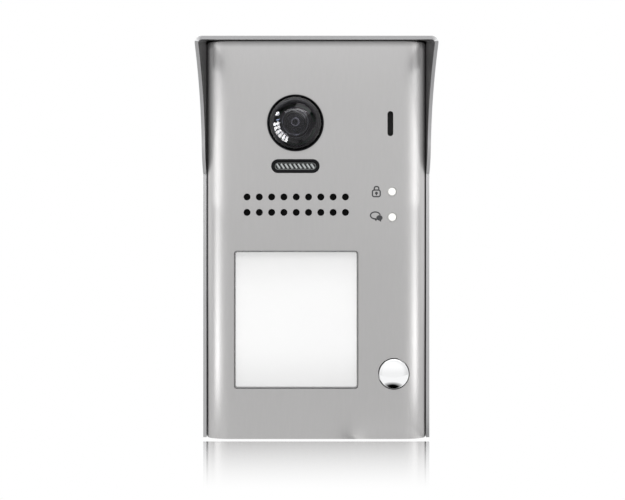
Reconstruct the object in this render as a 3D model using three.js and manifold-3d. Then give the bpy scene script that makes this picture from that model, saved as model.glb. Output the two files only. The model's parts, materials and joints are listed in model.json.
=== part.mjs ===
// A surface-mount video door station: an aluminium front panel hung on a steel bracket
// inside a bent sheet rain hood. It has a camera dome, a row of lights, a speaker,
// a microphone, two status lights, a name window and one call button.
// Millimetres. +X is to the visitor's right, +Y goes into the wall and +Z is up.
// The origin is on the wall face, at the middle of the panel's width and height.
import * as THREE from 'three';
import { mergeVertices } from 'three/addons/utils/BufferGeometryUtils.js';
import Module from 'manifold-3d';

const wasm = await Module();
wasm.setup();

// Front panel, an aluminium extrusion
const panelWidth = 95.2;
const panelTop = 86.4;
const panelBottom = -85;
const panelSheet = 2;
const faceY = -29;
const panelBackY = -2.2;
const flank = { width: 10.8, depth: 5 };
const panelCornerRadius = 1.7;

// Rain hood, one bent sheet
const hoodSheet = 1.4;
const hoodWidth = 98.4;
const lipY = -52;
const lipBottom = 81.3;
const roofSlope = 0.24;
const hoodCornerRadius = 3;
const finTopZ = lipBottom - 0.6;
const finSweep = { pullY: -33.5, pullZ: 64, endY: -30.5, endZ: 43 };
const finKnee = { pullY: -30, pullZ: 35, endZ: 29.5 };
const finFrontY = -25.5;
const cableHole = { x: 0, z: -36, width: 40, height: 40, corner: 3 };

// Layers inside the station, from the face back to the wall
const behindSheetY = faceY + panelSheet;
const boardFrontY = -12.6;
const boardBackY = -11;
const gasketFrontY = -7.3;
const coverFrontY = -5.2;
const coverBackY = -3.2;
const bracketFrontY = -3;
const bracketBackY = -1.7;
const boardDepth = [boardFrontY - 2, boardBackY + 1];

// Camera
const camera = { x: -9, z: 51.2 };
const domeHoleRadius = 11.9;
const bezel = { radius: 12.25, innerRadius: 11.05, neckRadius: 11.7, proud: 0.6 };
const domeRadius = 10.9;
const domeHeight = 8.5;
const domeWall = 1.2;
const domeFlangeRadius = 13.8;
const domeSealInner = 12.1;
const domeSealThickness = 0.4;
const holderRing = { innerRadius: 9.3, outerRadius: 15, frontY: -25.4, thickness: 1.4 };
const cheek = { near: 9.6, far: 11.8, backY: -19.5, halfHeight: 4 };
const tiltAxisY = -22.5;
const trunnion = { radius: 1.5, near: 7, far: 11.5 };
const cradle = { innerRadius: 6.15, outerRadius: 7.6, frontY: -26, backY: -18.5 };
const lever = { halfWidth: 1.5, frontY: -20.5, backY: -16, nearZ: 7.2, farZ: 8.8 };
const barrel = { frontY: -31.8, seatY: -29.4, shoulderY: -27, backY: -18.6 };
const barrelRadius = { bore: 4.5, nose: 5.4, body: 6.05 };
const lens = { poleY: -31.5, backY: -29.5, radius: 4.3, sphere: 9 };
const sensorBoard = { ...camera, width: 13, height: 13 };

// Lights under the camera
const ledWindow = { x: -9, z: 32.6, width: 20.6, height: 5.7 };
const ledBezelWall = 1.05;
const ledBezelBackY = -23.6;
const ledBoardFrontY = -23.5;
const ledBoardBackY = -22.3;
const emitterCount = 4;
const emitterPitch = 4.4;
const emitterSize = { width: 3, height: 2.2, thickness: 1.25 };

// Speaker
const speaker = { x: -8.65, z: 15.98 };
const speakerHoleRadius = 1.5;
const speakerHolePitch = 5.3;
const speakerRowGap = 6.65;
const speakerHolesPerRow = 9;
const speakerMesh = { ...speaker, width: 49, height: 13, corner: 2 };
const speakerOutline = { ...speaker, width: 50, height: 21 };
const speakerWall = 1.2;
const speakerFrameBackY = -19.5;
const speakerFloorY = -20.7;
const cone = { frontY: -25, backY: -24.6, coilInner: 5.4, coilOuter: 6.2, coilBackY: -20.2 };
const magnet = { radius: 9, frontY: -19.4, backY: -15.5, poleRadius: 5, poleFrontY: -23.5 };
const meshFrontY = -26.9;
const meshBackY = -26.6;
const cushionFrontY = -26.5;

// Microphone slot and status lights
const micSlot = { x: 31.9, z: 50.9, width: 2.5, height: 10.8 };
const micCapsule = { radius: 3, drop: 3.4, frontY: -24.9, backY: -21.2 };
const micBoot = { width: 8, height: 16, corner: 2, backY: -21, portRadius: 1 };
const unlockLight = { x: 32.6, z: 21.6 };
const talkLight = { x: 32.7, z: 10.6 };
const statusLightRadius = 1.85;

// Name window
const nameWindow = { x: -8.7, z: -33.6, width: 53.3, height: 59.2, corner: 1.2 };
const nameWindowThickness = 1.5;
const nameInset = 0.5;
const cardFrontY = -27.3;
const cardBackY = -27;
const diffuserFrontY = -26.9;
const diffuserBackY = -24.4;
const nameHolderBackY = -22.8;

// Call button and its switch
const button = { x: 33.4, z: -56.9 };
const capRadius = 6.4;
const capDome = { sphere: 12.3, height: 2.2 };
const capSkirtY = -25;
const capFlange = { radius: 7.1, backY: -24 };
const stemRadius = 1.6;
const stemEndY = -18.6;
const guide = { frontY: -26.55, flangeBackY: -25.5, stopY: -25.1, floorY: -19, backY: -18 };
const guideRadius = { mouth: 6.55, bore: 7.4, body: 8.2, flange: 9, stem: 2.4 };
const springCoil = { radius: 4.4, wire: 0.35, turns: 4, startY: -23.45, length: 3.9 };
const stemSealRing = { inner: 1.72, outer: 2.32, frontY: -18.95, backY: -18.05 };
const switchBox = { ...button, width: 6, height: 6 };
const switchFrontY = -16.1;
const plunger = { radius: 1.7, frontY: stemEndY + 1.4, backY: -15.9 };

// Connections in the rear pocket
const pocket = { left: -26, right: 26, bottom: -60, top: -12, floorY: -7.8, wall: 1.5 };
const terminalCount = 4;
const terminalPitch = 7.5;
const terminalBlock = { x: -4, z: -41, width: 32, height: 10, backY: -3.9 };
const terminalWell = { radius: 2.2, floorY: -6 };
const wireEntry = { radius: 1.5, y: -8.4 };
const clampScrew = { radius: 2, frontY: -5.9, backY: -4.5, slotY: -5.1, slotWidth: 0.6 };
const dipSwitch = { x: -17, z: -53, width: 10, height: 6, backY: -6.6, pitch: 4 };
const dipTravel = 1.8;
const dipFloorY = -8;
const dipLeverSize = { width: 1.6, height: 1.4, frontY: -7.9, backY: -5.9 };
const trimmer = { x: 5.5, z: -53, width: 7, height: 7, backY: -7, rotorRadius: 2.6 };
const rotor = { frontY: -7.9, backY: -6.4, slotY: -7, slotWidth: 0.7, wellY: -8 };

// Fixings
const coverScrew = { x: 42.6, z: 62, shankRadius: 1.2, headRadius: 1.9, tipY: -9 };
const coverScrewHead = { frontY: -4, backY: -3.3, slotLength: 2.2, slotWidth: 0.5 };
const boardPost = { x: 33, z: 64, radius: 2.5, pinRadius: 1.3, rootY: -4 };
const rivet = { x: 24, z: 40, shankRadius: 2, headRadius: 3, headBackY: -2.3, endY: -0.1 };
const wallSlot = { x: 38, z: 60, width: 5, height: 9 };
const securityScrew = { y: -12, headRadius: 3.5, headThickness: 1.1, shankRadius: 2, tipZ: -77 };
const securitySocket = { radius: 1.4, depth: 0.7 };
const cover = { x: 0, z: 0.7, width: 89.8, height: 166, corner: 1 };
const hook = { halfWidth: 15, frontY: -9, lipBackY: -7.7, bottomZ: 77.5, shelfZ: 80.7, topZ: 82 };
const tab = { halfWidth: 7, frontY: -16, bottomZ: -80.5, topZ: -79.2 };
const bracketBack = { x: 0, z: 0.75, width: 60, height: 162.5, corner: 3 };
const bracketWindow = { x: 0, z: 30, width: 32, height: 44, corner: 4 };
const bracketCableGap = 4;
const gasketOutline = { x: 0, z: 0, width: 80.4, height: 146, corner: 2.4 };
const sealLandWidth = 1.8;
const ribInnerX = 37.6;
const ledgeY = -9.4;
const ledgeThickness = 2;
const endCapThickness = 2.5;
const shelfInnerZ = 70;
const shelfHeight = 4;
const webInnerX = 30;

// Clearances
const touchGap = 0.1;
const seatGap = 0.05;
const slideGap = 0.2;
const pastSurface = 1;

const material = (color, roughness, metalness) =>
  new THREE.MeshStandardMaterial({ color, roughness, metalness });
const aluminium = material(0xb4b6b8, 0.42, 0.9);
const hoodAluminium = material(0xc0c2c4, 0.45, 0.9);
const steel = material(0x9a9da0, 0.4, 1);
const chrome = material(0xe6e8ea, 0.08, 1);
const blackPlastic = material(0x101113, 0.4, 0);
const greyPlastic = material(0x5b5e62, 0.6, 0);
const blackRubber = material(0x17181a, 0.85, 0);
const darkDome = material(0x0b0d12, 0.05, 0);
const clearPlastic = material(0xe9edf0, 0.1, 0);
const whiteLight = material(0xffffff, 0.3, 0);
const paper = material(0xf6f6f4, 0.9, 0);
const boardGreen = material(0x1d5a3a, 0.5, 0);
const cream = material(0xe7e0cc, 0.5, 0);
const terminalGreen = material(0x2f8a4d, 0.5, 0);
const brass = material(0xb08d4a, 0.35, 1);
const conePaper = material(0x26272a, 0.8, 0);

const group = new THREE.Group();

// A named sub-part in the group.
function add(name, solid, surface) {
  const mesh = new THREE.Mesh(geometryOf(solid), surface);
  mesh.name = name;
  group.add(mesh);
}

// A closed three.js geometry as a solid that can be joined and cut.
function solidOf(geometry) {
  geometry.deleteAttribute('normal');
  geometry.deleteAttribute('uv');
  const merged = mergeVertices(geometry, 1e-4);
  const index = merged.index.array;
  const kept = [];
  for (let i = 0; i < index.length; i += 3) {
    const [a, b, c] = [index[i], index[i + 1], index[i + 2]];
    if (a !== b && b !== c && c !== a) kept.push(a, b, c);
  }
  return new wasm.Manifold(
    new wasm.Mesh({
      numProp: 3,
      vertProperties: merged.attributes.position.array,
      triVerts: new Uint32Array(kept),
    }),
  );
}

function geometryOf(solid) {
  const mesh = solid.getMesh();
  const geometry = new THREE.BufferGeometry();
  geometry.setAttribute('position', new THREE.BufferAttribute(mesh.vertProperties, 3));
  geometry.setIndex(new THREE.BufferAttribute(mesh.triVerts, 1));
  geometry.computeVertexNormals();
  return geometry;
}

// A box between two limits on each axis, given in either order.
function block(xA, xB, yA, yB, zA, zB) {
  const box = new THREE.BoxGeometry(Math.abs(xB - xA), Math.abs(yB - yA), Math.abs(zB - zA));
  box.translate((xA + xB) / 2, (yA + yB) / 2, (zA + zB) / 2);
  return solidOf(box);
}

// An XZ outline made thick along Y.
function plateGeometry(outline, frontY, backY, curveSegments) {
  const depth = backY - frontY;
  const plate = new THREE.ExtrudeGeometry(outline, { depth, bevelEnabled: false, curveSegments });
  plate.rotateX(Math.PI / 2);
  plate.translate(0, backY, 0);
  return plate;
}

function plate(outline, frontY, backY, curveSegments = 4) {
  return solidOf(plateGeometry(outline, frontY, backY, curveSegments));
}

// An XY section run along Z.
function columnZ(section, bottom, top, curveSegments = 8) {
  const depth = top - bottom;
  const column = new THREE.ExtrudeGeometry(section, { depth, bevelEnabled: false, curveSegments });
  column.translate(0, 0, bottom);
  return solidOf(column);
}

// A YZ profile run along X.
function barX(profile, left, right, curveSegments = 12) {
  const depth = right - left;
  const bar = new THREE.ExtrudeGeometry(profile, { depth, bevelEnabled: false, curveSegments });
  const turn = new THREE.Matrix4().makeBasis(
    new THREE.Vector3(0, 1, 0),
    new THREE.Vector3(0, 0, 1),
    new THREE.Vector3(1, 0, 0),
  );
  bar.applyMatrix4(turn);
  bar.translate(left, 0, 0);
  return solidOf(bar);
}

// Round bars along each axis. The ends of the bar along X can be given in either order.
function rod(x, z, radius, frontY, backY, sides = 16) {
  const bar = new THREE.CylinderGeometry(radius, radius, backY - frontY, sides);
  bar.translate(x, (frontY + backY) / 2, z);
  return solidOf(bar);
}

function rodX(y, z, radius, xA, xB, sides = 16) {
  const bar = new THREE.CylinderGeometry(radius, radius, Math.abs(xB - xA), sides);
  bar.rotateZ(Math.PI / 2);
  bar.translate((xA + xB) / 2, y, z);
  return solidOf(bar);
}

function rodZ(x, y, radius, bottom, top, sides = 16) {
  const bar = new THREE.CylinderGeometry(radius, radius, top - bottom, sides);
  bar.rotateX(Math.PI / 2);
  bar.translate(x, y, (bottom + top) / 2);
  return solidOf(bar);
}

// A piece turned about an axis along Y, from [radius, y] points that run from front to back
// on the outside. It starts and ends on the axis, or closes on itself.
function turned(at, profile, sides = 24) {
  const points = profile.map(([radius, y]) => new THREE.Vector2(radius, y));
  const lathe = new THREE.LatheGeometry(points, sides);
  lathe.translate(at.x, 0, at.z);
  return solidOf(lathe);
}

function ring(at, inner, outer, frontY, backY, sides = 24) {
  const profile = [
    [inner, frontY],
    [outer, frontY],
    [outer, backY],
    [inner, backY],
    [inner, frontY],
  ];
  return turned(at, profile, sides);
}

// [radius, y] points on a sphere centred on the axis, from its front pole out to a radius.
function domePoints(poleY, sphereRadius, rimRadius, steps) {
  const rimAngle = Math.asin(rimRadius / sphereRadius);
  const points = [];
  for (let i = 0; i <= steps; i += 1) {
    const angle = (rimAngle * i) / steps;
    const y = poleY + sphereRadius * (1 - Math.cos(angle));
    points.push([sphereRadius * Math.sin(angle), y]);
  }
  return points;
}

function roundedRect(x, z, width, height, radius) {
  const right = x + width / 2 - radius;
  const left = x - width / 2 + radius;
  const top = z + height / 2 - radius;
  const bottom = z - height / 2 + radius;
  const outline = new THREE.Shape();
  outline.absarc(right, top, radius, 0, Math.PI / 2);
  outline.absarc(left, top, radius, Math.PI / 2, Math.PI);
  outline.absarc(left, bottom, radius, Math.PI, 1.5 * Math.PI);
  outline.absarc(right, bottom, radius, 1.5 * Math.PI, 2 * Math.PI);
  return outline;
}

// A rounded rectangle on a centre, larger or smaller than the stated one all round.
function grown(at, by) {
  const radius = (at.corner ?? Math.min(at.width, at.height) / 2) + by;
  return roundedRect(at.x, at.z, at.width + 2 * by, at.height + 2 * by, radius);
}

function slotRecess(at, length, width, frontY, backY) {
  const { x, z } = at;
  return block(x - length / 2, x + length / 2, frontY, backY, z - width / 2, z + width / 2);
}

// The four corners of a rectangle centred on the origin.
function corners({ x, z }) {
  return [
    { x: -x, z },
    { x, z },
    { x: -x, z: -z },
    { x, z: -z },
  ];
}

// ---- Rain hood and wall bracket ----

// The roof rises towards the wall: points above the shoulders climb with depth.
function slopeRoof(geometry) {
  const position = geometry.attributes.position;
  for (let i = 0; i < position.count; i += 1) {
    const z = position.getZ(i);
    if (z > 0) position.setZ(i, z + roofSlope * (position.getY(i) - lipY));
  }
  return geometry;
}

function hoodOutline(halfWidth, top, bottom, radius) {
  const outline = new THREE.Shape();
  outline.moveTo(-halfWidth, bottom);
  outline.lineTo(halfWidth, bottom);
  outline.absarc(halfWidth - radius, top - radius, radius, 0, Math.PI / 2);
  outline.absarc(-halfWidth + radius, top - radius, radius, Math.PI / 2, Math.PI);
  return outline;
}

// What is cut away ahead of the side fins: they sweep back from the lip, step in at a knee
// and run straight down.
function finCutaway() {
  const clearY = lipY - pastSurface;
  const clearZ = panelBottom - pastSurface;
  const profile = new THREE.Shape();
  profile.moveTo(clearY, finTopZ);
  profile.lineTo(lipY, finTopZ);
  profile.quadraticCurveTo(finSweep.pullY, finSweep.pullZ, finSweep.endY, finSweep.endZ);
  profile.quadraticCurveTo(finKnee.pullY, finKnee.pullZ, finFrontY, finKnee.endZ);
  profile.lineTo(finFrontY, clearZ);
  profile.lineTo(clearY, clearZ);
  return barX(profile, -hoodWidth, hoodWidth);
}

function rainHood() {
  const half = hoodWidth / 2;
  const through = [-hoodSheet - pastSurface, pastSurface];
  const lipTop = lipBottom + hoodSheet;
  const outer = hoodOutline(half, lipTop, panelBottom, hoodCornerRadius);
  const innerRadius = hoodCornerRadius - hoodSheet;
  const inner = hoodOutline(half - hoodSheet, lipBottom, panelBottom - pastSurface, innerRadius);
  const hollow = solidOf(slopeRoof(plateGeometry(inner, lipY - pastSurface, -hoodSheet, 5)));
  let hood = solidOf(slopeRoof(plateGeometry(outer, lipY, 0, 5)));
  hood = hood.subtract(hollow).subtract(finCutaway());
  hood = hood.subtract(plate(grown(cableHole, 0), ...through));
  for (const at of corners(wallSlot)) {
    hood = hood.subtract(plate(grown({ ...wallSlot, ...at }, 0), ...through));
  }
  for (const side of [-1, 1]) {
    const radius = rivet.shankRadius + touchGap;
    hood = hood.subtract(rod(side * rivet.x, rivet.z, radius, ...through));
  }
  return hood;
}

function mountingBracket() {
  const through = [bracketFrontY - pastSurface, bracketBackY + pastSurface];
  const { halfWidth: hookX, frontY: hookY, bottomZ, shelfZ, topZ } = hook;
  let bracket = plate(grown(bracketBack, 0), bracketFrontY, bracketBackY);
  bracket = bracket.add(block(-hookX, hookX, hookY, bracketBackY, shelfZ, topZ));
  bracket = bracket.add(block(-hookX, hookX, hookY, hook.lipBackY, bottomZ, topZ));
  const tabDepth = [tab.frontY, bracketBackY];
  bracket = bracket.add(block(-tab.halfWidth, tab.halfWidth, ...tabDepth, tab.bottomZ, tab.topZ));
  bracket = bracket.subtract(plate(grown({ ...cableHole }, bracketCableGap), ...through));
  bracket = bracket.subtract(plate(grown(bracketWindow, 0), ...through));
  const screwHole = securityScrew.shankRadius + touchGap;
  const tabHole = [tab.bottomZ - pastSurface, tab.topZ + pastSurface];
  bracket = bracket.subtract(rodZ(0, securityScrew.y, screwHole, ...tabHole));
  const headSeat = [bracketFrontY - pastSurface, rivet.headBackY + touchGap];
  for (const side of [-1, 1]) {
    const x = side * rivet.x;
    bracket = bracket.subtract(rod(x, rivet.z, rivet.shankRadius + touchGap, ...through));
    bracket = bracket.subtract(rod(x, rivet.z, rivet.headRadius + slideGap, ...headSeat));
  }
  return bracket;
}

function bracketRivet(side) {
  const at = { x: side * rivet.x, z: rivet.z };
  const profile = [
    [0, bracketFrontY],
    [rivet.headRadius, bracketFrontY],
    [rivet.headRadius, rivet.headBackY],
    [rivet.shankRadius, rivet.headBackY],
    [rivet.shankRadius, rivet.endY],
    [0, rivet.endY],
  ];
  return turned(at, profile, 20);
}

// It enters from below and holds the panel on the bracket's tab.
function securityScrewSolid() {
  const { y, headRadius, headThickness, shankRadius, tipZ } = securityScrew;
  const bottom = panelBottom + touchGap;
  const head = rodZ(0, y, headRadius, bottom, bottom + headThickness, 20);
  const shank = rodZ(0, y, shankRadius, bottom + headThickness / 2, tipZ);
  const socketTop = bottom + securitySocket.depth;
  const socket = rodZ(0, y, securitySocket.radius, bottom - pastSurface, socketTop, 6);
  return head.add(shank).subtract(socket);
}

// ---- Shell of the station ----

// The flanks turn back from the face along a quarter ellipse.
function panelSection() {
  const half = panelWidth / 2;
  const inner = half - panelSheet;
  const arcX = half - flank.width;
  const arcY = faceY + flank.depth;
  const innerWidth = flank.width - panelSheet;
  const innerDepth = flank.depth - panelSheet;
  const section = new THREE.Shape();
  section.moveTo(-half, panelBackY);
  section.lineTo(-half, arcY);
  section.absellipse(-arcX, arcY, flank.width, flank.depth, Math.PI, 1.5 * Math.PI);
  section.absellipse(arcX, arcY, flank.width, flank.depth, 1.5 * Math.PI, 2 * Math.PI);
  section.lineTo(half, panelBackY);
  section.lineTo(inner, panelBackY);
  section.absellipse(arcX, arcY, innerWidth, innerDepth, 2 * Math.PI, 1.5 * Math.PI, true);
  section.absellipse(-arcX, arcY, innerWidth, innerDepth, 1.5 * Math.PI, Math.PI, true);
  section.lineTo(-inner, panelBackY);
  return section;
}

// The inside of the extrusion, less a clearance: the shape of an end cap.
function capSection() {
  const width = flank.width - panelSheet - slideGap;
  const depth = flank.depth - panelSheet - slideGap;
  const arcX = panelWidth / 2 - flank.width;
  const arcY = faceY + flank.depth;
  const section = new THREE.Shape();
  section.moveTo(-arcX - width, panelBackY);
  section.lineTo(-arcX - width, arcY);
  section.absellipse(-arcX, arcY, width, depth, Math.PI, 1.5 * Math.PI);
  section.absellipse(arcX, arcY, width, depth, 1.5 * Math.PI, 2 * Math.PI);
  section.lineTo(arcX + width, panelBackY);
  return section;
}

function speakerHoles(depths) {
  const holes = [];
  for (const row of [-0.5, 0.5]) {
    for (let i = 0; i < speakerHolesPerRow; i += 1) {
      const x = speaker.x + (i - (speakerHolesPerRow - 1) / 2) * speakerHolePitch;
      const z = speaker.z + row * speakerRowGap;
      holes.push(rod(x, z, speakerHoleRadius, ...depths, 12));
    }
  }
  return holes;
}

function frontPanel() {
  const through = [faceY - pastSurface, behindSheetY + pastSurface];
  const lightHole = statusLightRadius + touchGap;
  const windowGap = touchGap + seatGap;
  const height = panelTop - panelBottom;
  const middleZ = (panelTop + panelBottom) / 2;
  let panel = columnZ(panelSection(), panelBottom, panelTop, 12);
  const outline = roundedRect(0, middleZ, panelWidth + 1, height, panelCornerRadius);
  panel = panel.intersect(plate(outline, faceY - pastSurface, 0));
  const ribEnd = endCapThickness + slideGap + touchGap;
  const wallX = panelWidth / 2 - panelSheet / 2;
  const ribDepths = [ledgeY, ledgeY + ledgeThickness];
  for (const side of [-1, 1]) {
    const ends = [panelBottom + ribEnd, panelTop - ribEnd];
    panel = panel.add(block(side * ribInnerX, side * wallX, ...ribDepths, ...ends));
  }
  for (const at of corners(coverScrew)) {
    const radius = coverScrew.shankRadius + touchGap;
    const depths = [ledgeY - pastSurface, ledgeY + ledgeThickness + pastSurface];
    panel = panel.subtract(rod(at.x, at.z, radius, ...depths, 12));
  }
  const cuts = [
    rod(camera.x, camera.z, domeHoleRadius, ...through, 36),
    plate(grown(ledWindow, windowGap), ...through, 6),
    plate(grown(micSlot, 0), ...through),
    rod(unlockLight.x, unlockLight.z, lightHole, ...through),
    rod(talkLight.x, talkLight.z, lightHole, ...through),
    plate(grown(nameWindow, windowGap), ...through, 4),
    rod(button.x, button.z, capRadius + 2 * slideGap, ...through, 32),
    ...speakerHoles(through),
  ];
  for (const cut of cuts) panel = panel.subtract(cut);
  return panel;
}

// A plug in the end of the extrusion with a shelf that the rear gasket rests on.
function endCap(side) {
  const end = side > 0 ? panelTop : panelBottom;
  const inner = end - side * endCapThickness;
  const shelfEdge = side * shelfInnerZ;
  const shelfX = ribInnerX - slideGap - touchGap;
  const depths = [ledgeY, ledgeY + ledgeThickness];
  const intoPlug = inner + (side * endCapThickness) / 2;
  let cap = columnZ(capSection(), Math.min(end, inner), Math.max(end, inner), 12);
  cap = cap.add(block(-shelfX, shelfX, ...depths, shelfEdge, shelfEdge + side * shelfHeight));
  for (const web of [-1, 1]) {
    cap = cap.add(block(web * webInnerX, web * shelfX, ...depths, shelfEdge, intoPlug));
  }
  return cap;
}

function bottomEndCap() {
  const { y, shankRadius, headRadius, headThickness } = securityScrew;
  const below = panelBottom - pastSurface;
  const holeTop = panelBottom + endCapThickness + pastSurface;
  const seatTop = panelBottom + headThickness + slideGap;
  const screwHole = rodZ(0, y, shankRadius + slideGap + touchGap, below, holeTop);
  const headSeat = rodZ(0, y, headRadius + slideGap + touchGap, below, seatTop, 20);
  return endCap(-1).subtract(screwHole).subtract(headSeat);
}

function rearGasket() {
  const solid = plate(grown(gasketOutline, 0), gasketFrontY, coverFrontY - seatGap, 3);
  const inside = grown(gasketOutline, -sealLandWidth);
  return solid.subtract(plate(inside, gasketFrontY - pastSurface, coverFrontY, 3));
}

function rearCover() {
  const { left, right, bottom, top, floorY, wall } = pocket;
  const through = [coverFrontY - pastSurface, pastSurface];
  let shell = plate(grown(cover, 0), coverFrontY, coverBackY, 3);
  const tub = [left - wall, right + wall, floorY - wall, coverBackY, bottom - wall, top + wall];
  shell = shell.add(block(...tub));
  shell = shell.subtract(block(left, right, floorY, 0, bottom, top));
  for (const at of corners(boardPost)) {
    const { radius, pinRadius, rootY } = boardPost;
    shell = shell.add(rod(at.x, at.z, radius, boardBackY + touchGap, rootY, 16));
    shell = shell.add(rod(at.x, at.z, pinRadius, boardFrontY - ledgeThickness / 4, rootY, 12));
  }
  const headDepths = [coverScrewHead.frontY - touchGap, pastSurface];
  for (const at of corners(coverScrew)) {
    const { shankRadius, headRadius } = coverScrew;
    shell = shell.subtract(rod(at.x, at.z, shankRadius + touchGap, ...through, 12));
    shell = shell.subtract(rod(at.x, at.z, headRadius + slideGap, ...headDepths, 20));
  }
  const coverTop = cover.z + cover.height / 2 + pastSurface;
  const coverBottom = cover.z - cover.height / 2 - pastSurface;
  const hookX = hook.halfWidth + 2;
  const tabX = tab.halfWidth + 2;
  shell = shell.subtract(block(-hookX, hookX, ...through, hook.shelfZ - slideGap, coverTop));
  shell = shell.subtract(block(-tabX, tabX, ...through, coverBottom, tab.topZ + 5));
  const windowDepths = [floorY - wall - pastSurface, floorY + pastSurface];
  for (const box of [terminalBlock, dipSwitch, trimmer]) {
    shell = shell.subtract(boxAround(box, slideGap + touchGap, ...windowDepths));
  }
  return shell;
}

function boxAround({ x, z, width, height }, by, frontY, backY) {
  const halfWidth = width / 2 + by;
  const halfHeight = height / 2 + by;
  return block(x - halfWidth, x + halfWidth, frontY, backY, z - halfHeight, z + halfHeight);
}

function coverScrewAt(at) {
  const { shankRadius, headRadius, tipY } = coverScrew;
  const { frontY, backY, slotLength, slotWidth } = coverScrewHead;
  const profile = [
    [0, tipY],
    [shankRadius, tipY],
    [shankRadius, frontY],
    [headRadius, frontY],
    [headRadius, backY],
    [0, backY],
  ];
  const slotFloorY = (frontY + backY) / 2;
  const recess = slotRecess(at, slotLength, slotWidth, slotFloorY, 0);
  const crossRecess = slotRecess(at, slotWidth, slotLength, slotFloorY, 0);
  return turned(at, profile, 12).subtract(recess).subtract(crossRecess);
}

function mainBoard() {
  let board = plate(roundedRect(0, 0, 74.6, 136, 2), boardFrontY, boardBackY, 3);
  for (const at of corners(boardPost)) {
    board = board.subtract(rod(at.x, at.z, boardPost.pinRadius + slideGap, ...boardDepth, 12));
  }
  return board;
}

// ---- Camera behind its dome ----

function domeBezel() {
  const { radius, innerRadius, neckRadius, proud } = bezel;
  const edgeY = faceY - proud / 2;
  const crestY = faceY - proud;
  const backY = behindSheetY + domeSealThickness;
  const profile = [
    [innerRadius, edgeY],
    [innerRadius + 0.35, crestY],
    [radius - 0.3, crestY],
    [radius, edgeY],
    [radius, faceY - seatGap],
    [neckRadius, faceY - seatGap],
    [neckRadius, backY],
    [innerRadius, backY],
    [innerRadius, edgeY],
  ];
  return turned(camera, profile, 36);
}

function cameraDome() {
  const sphere = (domeRadius ** 2 + domeHeight ** 2) / (2 * domeHeight);
  const inner = domeRadius - domeWall;
  const poleY = faceY - domeHeight;
  const outside = domePoints(poleY, sphere, domeRadius, 6);
  const inside = domePoints(poleY + domeWall, sphere - domeWall, inner, 6);
  const flangeFrontY = behindSheetY + domeSealThickness + touchGap;
  const flangeBackY = flangeFrontY + 1;
  const profile = [
    ...outside,
    [domeRadius, flangeFrontY],
    [domeFlangeRadius, flangeFrontY],
    [domeFlangeRadius, flangeBackY],
    [inner, flangeBackY],
    ...inside.reverse(),
  ];
  return turned(camera, profile, 32);
}

function domeSeal() {
  const frontY = behindSheetY + seatGap;
  return ring(camera, domeSealInner, domeFlangeRadius, frontY, frontY + domeSealThickness, 32);
}

function cameraBracket() {
  const { innerRadius, outerRadius, frontY, thickness } = holderRing;
  const rimInner = domeFlangeRadius + touchGap + seatGap;
  let bracket = ring(camera, innerRadius, outerRadius, frontY, frontY + thickness, 32);
  const rim = ring(camera, rimInner, outerRadius, behindSheetY + seatGap, frontY + 0.5, 32);
  bracket = bracket.add(rim);
  const halfHeight = cheek.halfHeight;
  const heights = [camera.z - halfHeight, camera.z + halfHeight];
  for (const side of [-1, 1]) {
    const near = camera.x + side * cheek.near;
    const far = camera.x + side * cheek.far;
    const bore = rodX(tiltAxisY, camera.z, trunnion.radius + touchGap, near - side, far + side);
    const wall = block(near, far, frontY + 0.5, cheek.backY, ...heights);
    bracket = bracket.add(wall.subtract(bore));
  }
  return bracket;
}

function cameraCradle() {
  const { innerRadius, outerRadius, frontY, backY } = cradle;
  let solid = ring(camera, innerRadius, outerRadius, frontY, backY);
  for (const side of [-1, 1]) {
    const near = camera.x + side * trunnion.near;
    const far = camera.x + side * trunnion.far;
    solid = solid.add(rodX(tiltAxisY, camera.z, trunnion.radius, near, far));
  }
  const { halfWidth, nearZ, farZ } = lever;
  const heights = [camera.z + nearZ, camera.z + farZ];
  const widths = [camera.x - halfWidth, camera.x + halfWidth];
  return solid.add(block(...widths, lever.frontY, lever.backY, ...heights));
}

function lensBarrel() {
  return turned(camera, [
    [0, barrel.seatY],
    [barrelRadius.bore, barrel.seatY],
    [barrelRadius.bore, barrel.frontY],
    [barrelRadius.nose, barrel.frontY],
    [barrelRadius.nose, barrel.shoulderY],
    [barrelRadius.body, barrel.shoulderY],
    [barrelRadius.body, barrel.backY],
    [0, barrel.backY],
  ]);
}

function frontLens() {
  return turned(camera, [
    ...domePoints(lens.poleY, lens.sphere, lens.radius, 4),
    [lens.radius, lens.backY],
    [0, lens.backY],
  ]);
}

// ---- Lights under the camera ----

function ledWindowBezel() {
  const frontY = faceY - bezel.proud / 2;
  const solid = plate(grown(ledWindow, 0), frontY, ledBezelBackY, 6);
  const inside = grown(ledWindow, -ledBezelWall);
  return solid.subtract(plate(inside, frontY - pastSurface, ledBezelBackY + pastSurface, 6));
}

function ledLens() {
  return plate(grown(ledWindow, -ledBezelWall - touchGap), faceY - touchGap, faceY + 3, 6);
}

function emitter(index) {
  const x = ledWindow.x + (index - (emitterCount - 1) / 2) * emitterPitch;
  const backY = ledBoardFrontY - seatGap;
  const at = { ...emitterSize, x, z: ledWindow.z };
  return boxAround(at, 0, backY - emitterSize.thickness, backY);
}

function ledBoard() {
  return boxAround(ledWindow, 2 * slideGap, ledBoardFrontY, ledBoardBackY);
}

// ---- Speaker and microphone ----

function speakerFrame() {
  const frontY = cushionFrontY + 1;
  const inside = grown(speakerOutline, -speakerWall);
  let frame = plate(grown(speakerOutline, 0), frontY, speakerFrameBackY);
  frame = frame.subtract(plate(inside, frontY - pastSurface, speakerFloorY));
  const poleHole = [speakerFloorY - pastSurface, speakerFrameBackY + pastSurface];
  return frame.subtract(rod(speaker.x, speaker.z, cone.coilOuter + 1.4, ...poleHole));
}

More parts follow.
